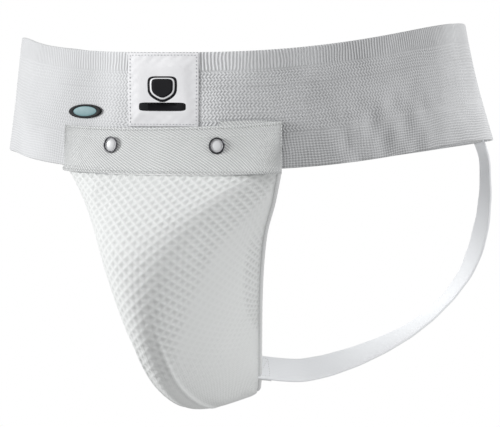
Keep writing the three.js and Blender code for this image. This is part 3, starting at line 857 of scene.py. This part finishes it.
def front_panel(across, down):
    """1 on the flat front of the cup, an inverted triangle, and less on the cloth beside and below it."""
    half_width = panel_half_width(down)
    front = mix(0.2, 1.0, 1 - ease(half_width - 8, half_width + 5, np.abs(across)))
    side_strip = 0.6 * ease(88, 94, np.abs(across)) * ease(45, 80, down)
    return (front + side_strip) * (1 - 0.7 * ease(150, 190, down))


def pits(u, v):
    place = pocket_places(u, v)
    across, down = place[..., 0], place[..., 1]
    turns = [across / PIT_ACROSS + way * down / PIT_DOWN for way in (1, -1)]
    hollow = 1 - np.maximum(*(2 * np.abs((turn + 0.5) % 1 - 0.5) for turn in turns))
    from_seam = (np.abs(across) - PANEL_SEAM) / SEAM_WIDTH
    seam_ridge = SEAM_HEIGHT * np.exp(-from_seam**2) * ease(112, 150, down) * (1 - ease(222, 240, down))
    from_crease = (np.abs(across) - panel_half_width(down)) / CREASE_WIDTH
    crease = -CREASE_DEPTH * np.exp(-from_crease**2) * (1 - ease(140, 165, down))
    return (-PIT_DEPTH * hollow * front_panel(across, down) + seam_ridge + crease
            + slack_at(1 - v, 2 * u - 1))


def mesh_finish():
    white = (0.795, 0.81, 0.805)
    finish = Finish("pitted_mesh_knit", white, 0.88, sheen=0.3)
    u, v = finish.cloth_map()
    across, down = u * (1 / PIT_ACROSS), v * (1 / PIT_DOWN)
    cords = [finish.do("PINGPONG", turn, 0.5) for turn in (across + down, across - down)]
    hollow = 1 - finish.do("MAXIMUM", *cords) * 2.0
    left_to_go = finish.do("MAXIMUM", 1 - v * (1 / PANEL_LENGTH), 0.0)
    half_width = finish.do("POWER", left_to_go, PANEL_CURVE) * PANEL_SPREAD + PANEL_POINT
    inside = finish.between(5, -8, abs(u) - half_width)
    side_strip = finish.between(88, 94, abs(u)) * finish.between(45, 80, v)
    strength = (inside * 0.8 + side_strip * 0.9 + 0.2) * finish.between(190, 150, v)
    hollow = hollow * (strength + 0.1)
    loops = finish.wave(u + finish.sway(v, 2.4, 0.6), 1.5)
    shade = 1 - hollow * (finish.noise(70, 3) + 0.45)
    finish.paint(shade, darker(white, 0.82), white)
    finish.bump(shade + loops * 0.4, 0.45, 0.8)
    finish.rough(shade, 1.0, 0.82)
    return finish.material


pocket = cloth("pocket_mesh", mesh_finish(), (POCKET_WIDTH, CREST_RUN[-1]), (1.1, 1.1), MESH_THICKNESS,
               lambda u, v, out: bowl_point(1 - v, 2 * u - 1, out), rim=1.0, relief=pits,
               cloth_places=pocket_places)
stand_in(pocket, "pouch_mesh")

# %% [markdown]
# ## Lining, seam tape and bindings
#
# Behind the mesh a thin tricot lining leaves the seams and drops behind the cup, so that the two
# layers make the pocket. A narrow tape covers the seam at the mouth, and a soft elastic binding is
# folded over each side edge, where the pocket meets the legs.

# %% Pocket lining and mouth tape
CUP_OUTER = -MESH_THICKNESS - 0.9
CUP_INNER = CUP_OUTER - 3.0
LINING_THICKNESS, LINING_SIZE = 1.0, (195.0, 240.0)
MOUTH_TAPE_THICKNESS, MOUTH_TAPE_SIZE = 0.8, (160.0, 8.0)


def lining_depth(s, lean):
    short_of = bowl_depth(s) * np.abs(np.cos(lean * np.pi / 2)) ** (2 / squareness_at(s))
    behind_cup = ease(1, 5, short_of) * (1 - ease(0.86, 0.97, s))
    return mix(-MESH_THICKNESS - FIT_GAP, CUP_INNER - 2.2, behind_cup)


def on_lining(u, v, out):
    s = mix(0.985, 0.005, v)
    lean = (2 * u - 1) * lean_short_of(s, 1.0)
    return bowl_point(s, lean, lining_depth(s, lean) + out)


def on_mouth_tape(u, v, out):
    s = mix(0.042, 0.012, v)
    lean = (2 * u - 1) * lean_short_of(s, 8.0)
    return bowl_point(s, lean, -MESH_THICKNESS - FIT_GAP + out)


lining = cloth("pocket_lining", TRICOT, LINING_SIZE, (2.4, 2.4), LINING_THICKNESS, on_lining, rim=0.6)
stand_in(lining, "pouch_lining")
mouth_tape = cloth("pocket_mouth_tape", BINDING_KNIT, MOUTH_TAPE_SIZE, (2.0, 0.8), MOUTH_TAPE_THICKNESS,
                   on_mouth_tape, rim=0.4)
stand_in(mouth_tape, "pouch_seam_tape")


# %% Side bindings
BINDING_WIDTH, BINDING_THICKNESS = 5.0, 3.4


def side_binding(side, word):
    stations, around = 150, 20
    s = np.linspace(0.002, 0.995, stations)
    lean = np.full(stations, float(side))
    edge = arch_point(s, lean)
    outward = arch_normal(s, lean)
    back = unit(edge - arch_point(s, lean * 0.93))
    turn = np.linspace(0, 2 * np.pi, around, endpoint=False)
    away = FIT_GAP + BINDING_WIDTH / 2 * (1 - signed_power(np.cos(turn), 0.75))
    gathers = 1 + 0.05 * np.sin(np.arange(stations) * 1.9)[:, None]
    proud = BINDING_THICKNESS / 2 * signed_power(np.sin(turn), 0.8)[None] * gathers
    rings = (edge[:, None] + back[:, None] * away[None, :, None]
             + outward[:, None] * (proud - MESH_THICKNESS / 2)[..., None])
    run = run_of(edge)
    number = np.arange(stations * around).reshape(stations, around)
    follow = np.roll(number, -1, axis=1)
    faces = np.stack([number[:-1], number[1:], follow[1:], follow[:-1]], -1).reshape(-1, 4).tolist()
    faces += [number[0, ::-1].tolist(), number[-1].tolist()]
    if side < 0:
        faces = [face[::-1] for face in faces]
    flat = np.stack(np.broadcast_arrays(run[:, None], np.minimum(turn, 2 * np.pi - turn)[None] * 2.4), -1)
    piece = mesh_object(f"pocket_binding_{word}", rings.reshape(-1, 3), faces, flat.reshape(-1, 2),
                        BINDING_KNIT)
    return stand_in(piece, f"pouch_binding_{word}"), run[-1]


binding_left, binding_run = side_binding(1, "left")
binding_right, _ = side_binding(-1, "right")
for side, word in ((1, "left"), (-1, "right")):
    s = np.linspace(0.02, 0.98, 240)
    lean = side * lean_short_of(s, 1.6)
    path = bowl_point(s, lean, slack_at(s, lean) + 0.05)
    row = stitches(f"pocket_side_stitching_{word}", WHITE_THREAD, path, arch_normal(s, lean), 2.4,
                   radius=0.26, slant=0.9)
    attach(row, "root")
print(f"each binding is {binding_run:.0f} mm long")

# %% [markdown]
# ## Cup and cushion
#
# The cup is injection moulded plastic, smooth and slightly glossy, and its solid is already right, so
# it only gets a finish. Round its edge runs a soft lip that rests on the body. The lip's solid is a
# coarse ring. It could be built again from a curve, but two rounds of subdivision on a copy are enough
# to make it a soft roll.

# %% Cup plastic and the soft lip
def moulded_plastic():
    finish = Finish("moulded_cup_plastic", (0.84, 0.85, 0.84), 0.35, specular=0.5)
    finish.bump(finish.noise(220, 2), 0.15, 0.25)
    finish.rough(finish.noise(90, 3), 0.28, 0.44)
    return finish.material


def dress(node, material, angle):
    """A hard solid keeps its shape; it gets a finish, and its curved faces are shaded smooth."""
    piece = frame["nodes"][node]
    piece.data.materials.clear()
    piece.data.materials.append(material)
    piece.data.polygons.foreach_set("use_smooth", np.ones(len(piece.data.polygons), bool))
    piece.data.set_sharp_from_angle(angle=math.radians(angle))


dress("cup_shell", moulded_plastic(), 40)

lip = frame["nodes"]["cup_edge_cushion"].copy()
lip.data = lip.data.copy()
lip.name = "cup_soft_lip"
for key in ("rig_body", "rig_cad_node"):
    if key in lip:
        del lip[key]
lip.parent = None
bpy.context.scene.collection.objects.link(lip)
rounder = lip.modifiers.new("rounder", "SUBSURF")
rounder.levels = rounder.render_levels = 2
lip_shape = bpy.data.meshes.new_from_object(lip.evaluated_get(bpy.context.evaluated_depsgraph_get()))
lip.modifiers.clear()
lip.data = lip_shape
foam = Finish("soft_rubber_lip", (0.66, 0.67, 0.665), 0.8, sheen=0.1)
foam.bump(foam.noise(1500, 3), 0.1, 0.6)
foam.rough(foam.noise(200, 2), 0.7, 0.9)
lip.data.materials.clear()
lip.data.materials.append(foam.material)
lip.data.polygons.foreach_set("use_smooth", np.ones(len(lip.data.polygons), bool))
stand_in(lip, "cup_edge_cushion")
print(f"the lip has {len(lip.data.polygons)} faces")

# %% [markdown]
# ## The flap over the mouth
#
# The flap is a strip of heavy twill. Its lower edge is sewn to the pocket's mouth and its upper edge
# is free: two press studs hold it against the band, and undoing them lets it fold forwards so that
# the cup can come out. Twill's slanted lines are a wave across a mix of u and v. The flap crosses the
# hinge; here it is only built in place and is not tied to the pocket or to the studs.

# %% Flap as a formula
FLAP_HALF_WIDTH, FLAP_TOP, FLAP_SKEW = 83.5, -11.5, 1.8
FLAP_STANDOFF, FLAP_THICKNESS, FLAP_HEIGHT = 3.2, 1.6, 31.0
FLAP_LENGTH, FLAP_LAP = 171.0, -0.035
HEM_SIZE, HEM_THICKNESS = (168.0, 7.0), 0.8
STUD_PLACES, STUD_DIP_WIDTH = (-40, 40), 11


def flap_point(lean, height, out):
    low = arch_point(np.zeros_like(lean), lean)
    x = low[..., 0] * FLAP_HALF_WIDTH / 80.0
    low_z = low[..., 2] + 1.0
    top = FLAP_TOP + band_rise(np.degrees(np.arcsin(x / TOP_RING[0]))) + FLAP_SKEW * x / FLAP_HALF_WIDTH
    high = band_front(x, top, np.full_like(x, FLAP_STANDOFF + FLAP_THICKNESS))
    rise = np.clip(height, 0, 1)
    y = mix(low[..., 1], high[..., 1], np.sin(rise * np.pi / 2) ** 0.9)
    z = mix(low_z, high[..., 2], height)
    angle = np.degrees(np.arcsin(x / BOTTOM_RING[0]))
    normal = unit(band_point(angle, np.full_like(x, 0.5), np.ones_like(x))
                  - band_point(angle, np.full_like(x, 0.5), np.zeros_like(x)))
    return points(x, y, z) + normal * np.asarray(out, float)[..., None]


def flap_softness(u, v):
    """A thick strip between two studs: it dips at each stud and eases out between and beyond them."""
    x = (2 * u - 1) * FLAP_HALF_WIDTH
    near_stud = sum(np.exp(-((x - stud) / STUD_DIP_WIDTH) ** 2 - ((v - 0.58) / 0.42) ** 2)
                    for stud in STUD_PLACES)
    curl = 0.5 * ease(0.82, 1.0, v) * np.sin(x / 9.0 + 1.0)
    return -0.7 * near_stud + 0.3 * np.sin(x / 17.0) * v + 0.35 * curl + 0.3


def on_flap(u, v, out):
    """The flap's lower edge laps over the pocket's mouth and is sewn down on it."""
    height = mix(FLAP_LAP, 1.0, v)
    return flap_point((2 * u - 1) * 0.995, height, out + 1.3 * (1 - ease(FLAP_LAP, 0.16, height)))


def on_flap_soft(u, v, out):
    return on_flap(u, v, out + flap_softness(u, v))


def twill_finish(name, colour, pitch, depth, dark):
    finish = Finish(name, colour, 0.82, sheen=0.3)
    u, v = finish.cloth_map()
    line = finish.wave(u * 0.62 + v * 0.78, pitch)
    yarn = finish.wave(u * 0.78 - v * 0.62, pitch * 0.8)
    height = line * 0.75 + yarn * 0.25
    finish.paint(height + finish.noise(50, 2) * 0.3, darker(colour, dark), colour)
    finish.bump(height, depth, 0.9)
    finish.rough(height, 0.95, 0.75)
    return finish.material


TWILL = twill_finish("heavy_twill", (0.77, 0.785, 0.785), 1.35, 0.45, 0.5)

# %% Flap, its turned-in hem and its seams
flap = cloth("mouth_flap", TWILL, (FLAP_LENGTH, FLAP_HEIGHT), (1.2, 1.1), FLAP_THICKNESS, on_flap_soft,
             rim=0.9)


def on_hem(u, v, out):
    """The hem behind the free edge; its end beside the label's left side stands a little above it."""
    lean = (2 * u - 1) * 0.98
    x = lean * FLAP_HALF_WIDTH
    peek = 3.6 * ease(23.5, 25, x) * (1 - ease(30, 84, x))
    low = 0.99 - 6.0 / FLAP_HEIGHT
    height = mix(low, 0.99 + peek / FLAP_HEIGHT, v)
    return flap_point(lean, height, -FLAP_THICKNESS - FIT_GAP + out + flap_softness(u, np.minimum(height, 1)))


hem = cloth("mouth_flap_hem", TWILL, HEM_SIZE, (1.2, 0.8), HEM_THICKNESS, on_hem, rim=0.4)


def flap_seam(name, corners, pitch, material, radius=0.26, slant=0.0, place=on_flap_soft):
    path, out = seam_on(place, corners, 0.05)
    return stitches(name, material, path, out, pitch, radius=radius, slant=slant)


flap_rows = [
    flap_seam("flap_hem_stitching", [(0.012, 0.955), (0.988, 0.955)], 1.9, WHITE_THREAD, 0.3, 1.1),
    flap_seam("flap_fold_stitching", [(0.015, 0.79), (0.985, 0.79)], 2.4, WHITE_THREAD, 0.2),
    flap_seam("flap_hem_shadow_line", [(0.645, 0.985), (0.985, 0.985)], 1.7, GREY_THREAD, 0.22, 0.5, on_hem),
    flap_seam("flap_end_stitching_left", [(0.982, 0.05), (0.982, 0.93)], 2.2, WHITE_THREAD, 0.24),
    flap_seam("flap_end_stitching_right", [(0.018, 0.05), (0.018, 0.93)], 2.2, WHITE_THREAD, 0.24),
]
mouth_rows = [
    flap_seam("mouth_seam_zigzag_a", [(0.012, 0.05), (0.988, 0.05)], 2.2, WHITE_THREAD, 0.26, 1.6),
    flap_seam("mouth_seam_zigzag_b", [(0.012, 0.11), (0.988, 0.11)], 2.2, WHITE_THREAD, 0.22, -1.2),
]
for piece in [flap, hem, *flap_rows, *mouth_rows]:
    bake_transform(piece)
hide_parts("pocket_flap")
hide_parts("pocket_flap_hem")

# %% [markdown]
# ## Press studs
#
# Each stud is a ring cap over the flap, a socket behind it, and on the band a post with its own back
# ring. They are pressed from brass sheet and plated dark. The solids already have their shape, so they
# are only dressed: a dark metal with the fine scratches that plating gets from use. Inside each ring
# cap a fine bead and a low white dome are added; the bead's pale colour is painted highlight on the
# inside of the dark ring.

# %% Stud metal
def plated_metal():
    finish = Finish("dark_plated_metal", (0.055, 0.056, 0.06), 0.32, specular=0.5)
    finish.shader.inputs["Metallic"].default_value = 1.0
    worn = finish.noise(900, 4)
    finish.paint(finish.between(0.45, 0.75, worn), (0.05, 0.05, 0.055), (0.16, 0.16, 0.17))
    finish.rough(finish.noise(1800, 2), 0.22, 0.42)
    finish.bump(worn, 0.03, 0.4)
    return finish.material


STUD_METAL = plated_metal()
for word in ("left", "right"):
    for kind in ("stud_ring_cap", "stud_socket", "stud_post", "stud_back_ring"):
        dress(f"{kind}_{word}", STUD_METAL, 50)


def stud_centre(word):
    """Inside the ring: a fine bead, pale as painted highlight, round a low dome of white enamel."""
    cap = np.array([v.co for v in frame["nodes"][f"stud_ring_cap_{word}"].data.vertices]) / MM
    middle = (cap.min(axis=0) + cap.max(axis=0)) / 2
    on_band = band_front(np.array(middle[0]), np.array(middle[2]), np.array(0.0))
    outward = unit(band_front(np.array(middle[0]), np.array(middle[2]), np.array(1.0)) - on_band)
    level = unit(np.cross(outward, np.array([0.0, 0.0, 1.0])))
    upright = np.cross(level, outward)
    turn = np.radians(np.arange(48) * 7.5)

    def circle(radius, out):
        flat = np.cos(turn)[:, None] * level + np.sin(turn)[:, None] * upright
        return middle + flat * radius + outward * out

    bead = [circle(4.15 + 0.38 * math.cos(a), -0.55 + 0.38 * math.sin(a))
            for a in np.radians([180, 135, 90, 45, 0, -45])]
    dome = [circle(r, z) for r, z in ((4.0, -0.8), (3.6, -0.45), (2.8, -0.2), (1.8, -0.05), (0.8, 0.0),
                                      (0.05, 0.02))]
    capped_rings(f"stud_bead_{word}", bead, PALE_BEAD_HIGHLIGHT, "flap")
    capped_rings(f"stud_centre_{word}", dome, CENTRE_ENAMEL, "flap")


# The bead's pale grey is painted highlight inside the dark ring cap.
PALE_BEAD_HIGHLIGHT = moulded("bead_painted_highlight", (0.5, 0.5, 0.52), 0.3)
CENTRE_ENAMEL = moulded("white_enamel", (0.68, 0.69, 0.70), 0.3)
for word in ("left", "right"):
    stud_centre(word)
print("eight stud pieces dressed, and a bead and a dome added inside each ring cap")

# %% [markdown]
# ## Leg straps
#
# A leg strap is flat woven elastic, 19 mm wide. It leaves the tail of the pocket, turns as it
# rounds the seat, and ends behind the lower edge of the band. A strap that is pulled tight has no
# folds for a simulation to find, so it is swept along its own line, with a direction for its width at
# every place.

# %% Strap line and its frame
STRAP_WIDTH, STRAP_THICKNESS, TAB_THICKNESS = 19.0, 1.8, 1.2
STRAP_LINE = [(25.5, 3, -172.5), (47, 26, -173), (83, 59, -157), (113, 85, -133),
              (135, 98, -102), (152.5, 88, -62)]
STRAP_TUCK = (20.5, -2.5, -172)
SEAT_ANGLE = 122


class Strap:
    """Places along one leg strap: t runs from the pocket's tail (0) to the band (1)."""

    def __init__(self, side):
        self.side = side
        inside = -BAND_THICKNESS - 3 * FIT_GAP - STRAP_THICKNESS / 2
        seat = [band_point(side * SEAT_ANGLE, h, inside) for h in (-0.14, 0.03, 0.2)]
        free = [(x * side, y, z) for x, y, z in [STRAP_TUCK, *STRAP_LINE]]
        line = SmoothLine([*free, *seat]).at(np.linspace(0, 1, 1601))
        self.run = run_of(line)
        self.line = line
        self.along = unit(np.gradient(line, self.run, axis=0))
        ends = [band_point(side * (SEAT_ANGLE + turn), np.array(0.1), np.array(0.0)) for turn in (1, -1)]
        band_way = ends[0] - ends[1]
        band_way[2] = 0
        self.band_way = unit(band_way)

    def place(self, t, across, up):
        where = t * self.run[-1]
        along = unit(read_along(self.run, self.along, where))
        turn = ease(0.05, 0.6, t)[..., None]
        edge = mix(np.array([-0.4, 0.5, 1.0]), np.array([-0.8, 0.6, 0.0]), turn)
        edge = edge * np.array([self.side, 1, 1])
        edge = mix(edge, self.band_way, ease(0.7, 0.9, t)[..., None])
        width = unit(edge - (edge * along).sum(-1, keepdims=True) * along)
        face = np.cross(along, width) * self.side
        middle = read_along(self.run, self.line, where)
        return middle + width * across[..., None] + face * up[..., None]


def strap_cloth(strap, name, material, start, end, width, thickness, level, soft=None):
    """A length of strap; level is where its outer face lies from the strap's middle layer."""
    length = strap.run[-1] * (end - start)
    place = lambda u, v, out: strap.place(mix(start, end, u), (v - 0.5) * width * strap.side,
                                          level + out + (0 if soft is None else soft(u, v)))
    return cloth(name, material, (length, width), (1.6, 1.4), thickness, place, rim=0.7)


# %% Straps, tabs and anchors
def box_stitch(strap, name, start, end, level):
    """A sewn box with one diagonal across it, which holds webbing down."""
    place = lambda u, v, out: strap.place(mix(start, end, u), (v - 0.5) * (STRAP_WIDTH - 4.5) * strap.side,
                                          level + out)
    corners = [(0.12, 0), (0.88, 0), (0.88, 1), (0.12, 1), (0.12, 0), (0.88, 1)]
    path, out = seam_on(place, corners, 0.0, 30)
    row = stitches(name, WHITE_THREAD, path, out, 1.9, radius=0.24)
    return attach(row, "root")


def strap_ripple(u, v):
    """The two woven edges stand in low waves, and the middle lies flat."""
    return 0.12 * np.sin(u * 90) * (2 * v - 1) ** 2


straps, trims = {}, {}
for side, word in ((1, "left"), (-1, "right")):
    strap = Strap(side)
    piece = strap_cloth(strap, f"leg_strap_woven_{word}", STRAP_ELASTIC, 0, 1, STRAP_WIDTH,
                        STRAP_THICKNESS, STRAP_THICKNESS / 2, soft=strap_ripple)
    tab = strap_cloth(strap, f"strap_tab_cloth_{word}", BINDING_KNIT, 0.004, 0.045, STRAP_WIDTH - 0.6,
                      TAB_THICKNESS, -STRAP_THICKNESS / 2 - FIT_GAP)
    anchor = strap_cloth(strap, f"strap_anchor_cloth_{word}", BINDING_KNIT, 0.945, 0.995,
                         STRAP_WIDTH - 0.6, TAB_THICKNESS, STRAP_THICKNESS / 2 + FIT_GAP + TAB_THICKNESS)
    for part, node in ((piece, "leg_strap"), (tab, "strap_tab"), (anchor, "strap_anchor")):
        stand_in(part, f"{node}_{word}")
    top = STRAP_THICKNESS / 2 + FIT_GAP + TAB_THICKNESS + 0.05
    rows = [box_stitch(strap, f"strap_anchor_stitching_{word}", 0.947, 0.993, top),
            box_stitch(strap, f"strap_tab_stitching_{word}", 0.006, 0.043, STRAP_THICKNESS / 2 + 0.05)]
    straps[word] = (piece, strap.run[-1])
    trims[word] = [tab, anchor, *rows]
    print(f"the {word} strap is {strap.run[-1]:.0f} mm long")

# %% [markdown]
# ## What each cloth was cut to
#
# A library that drapes or folds these pieces again needs to know the flat size of each cloth. The band
# and the straps are stretched a little over their cut length, and the pocket's pieces are cut to a shape.
# Here only each strap's cut length is worked out from its stretched one, and it is not kept.


KNIT_STRETCH = 1.06
for word, (piece, length) in straps.items():
    length * MM / KNIT_STRETCH

# %% [markdown]
# ## Floor, light and camera
#
# The protector hangs as if worn, well above a plain pale floor. The key lamp is large and soft and
# stands at the wearer's right and in front, so that the band turns gently into shade and its knit
# shows. Two weak lamps, low and high at the left hip, open the darkest places, and one behind lights
# the inside of the ring. The floor is there to be seen and throws no light back, and the sky lights
# less than it shows, or the white cloth would lose its shades. The camera has a long lens and looks
# slightly upwards.

# %% Floor and light
FLOOR_DEPTH, FLOOR_REACH = 0.9, 18.0
SKY_LIGHT, SKY_SEEN = 0.45, 1.0
floor_finish = Finish("pale_floor", (0.93, 0.93, 0.93), 0.8, specular=0.1)
floor_finish.shader.inputs["Emission Color"].default_value = (1, 1, 1, 1)
floor_finish.shader.inputs["Emission Strength"].default_value = 0.22
floor_corners = [(x * FLOOR_REACH / MM, y * FLOOR_REACH / MM, 0)
                 for x, y in ((-1, -1), (1, -1), (1, 1), (-1, 1))]
floor = mesh_object("floor", floor_corners, [(0, 1, 2, 3)], None, floor_finish.material)
floor.location.z = -FLOOR_DEPTH
floor.visible_diffuse = floor.visible_glossy = False


def soft_lamp(name, place, aim, size, power):
    lamp = bpy.data.lights.new(name, "AREA")
    lamp.shape, lamp.size, lamp.energy = "DISK", size, power
    holder = bpy.data.objects.new(name, lamp)
    holder.location = place
    holder.rotation_euler = (Vector(aim) - Vector(place)).to_track_quat("-Z", "Y").to_euler()
    bpy.context.scene.collection.objects.link(holder)


world = bpy.data.worlds.new("studio")
bpy.context.scene.world = world
world.use_nodes = True
tree = world.node_tree
sky, bright = tree.nodes["Background"], tree.nodes.new("ShaderNodeBackground")
for backdrop, strength in ((sky, SKY_LIGHT), (bright, SKY_SEEN)):
    backdrop.inputs["Color"].default_value = (1, 1, 1, 1)
    backdrop.inputs["Strength"].default_value = strength
seen = tree.nodes.new("ShaderNodeLightPath")
either = tree.nodes.new("ShaderNodeMixShader")
tree.links.new(seen.outputs["Is Camera Ray"], either.inputs["Fac"])
tree.links.new(sky.outputs[0], either.inputs[1])
tree.links.new(bright.outputs[0], either.inputs[2])
tree.links.new(either.outputs[0], tree.nodes["World Output"].inputs["Surface"])
soft_lamp("key", (-2.2, -1.35, 0.3), (0, -0.05, -0.05), 0.9, 62)
soft_lamp("low_left_hip", (2.1, -0.3, -0.75), (0.05, 0, -0.05), 1.2, 15)
soft_lamp("high_left_hip", (1.7, -0.6, 1.5), (0.1, 0.05, -0.1), 1.0, 17)
soft_lamp("behind", (0.5, 2.4, 0.5), (0, 0, -0.05), 1.4, 20)
bpy.context.scene.view_settings.view_transform = "Standard"
print("floor, sky and four lamps are set")

# %% Camera
AZIMUTH, ELEVATION, ROLL = math.radians(28), math.radians(-3.5), math.radians(-2.2)
DISTANCE, LENS = 2.5, 264.7
LOOK_ASIDE, LOOK_DOWN = 0.0608, 0.0676
right = Vector((math.cos(AZIMUTH), math.sin(AZIMUTH), 0))
forward = Vector((-math.sin(AZIMUTH) * math.cos(ELEVATION), math.cos(AZIMUTH) * math.cos(ELEVATION),
                  -math.sin(ELEVATION)))
up = right.cross(forward)
front = Vector((0, -0.1115, 0))
eye = front - DISTANCE * forward
target = front + LOOK_ASIDE * right - LOOK_DOWN * up
view = (target - eye).normalized()
camera = bpy.data.objects.new("camera", bpy.data.cameras.new("camera"))
camera.location = eye
look_right = math.cos(ROLL) * right - math.sin(ROLL) * up
look_right = (look_right - look_right.dot(view) * view).normalized()
look_up = look_right.cross(view)
camera.rotation_mode = "QUATERNION"
camera.rotation_quaternion = Matrix((look_right, look_up, -view)).transposed().to_quaternion()
camera.data.sensor_width = 36
camera.data.lens = LENS
camera.data.clip_start, camera.data.clip_end = 0.05, 120
bpy.context.scene.collection.objects.link(camera)
bpy.context.scene.camera = camera
print(f"the camera stands {DISTANCE} m away")
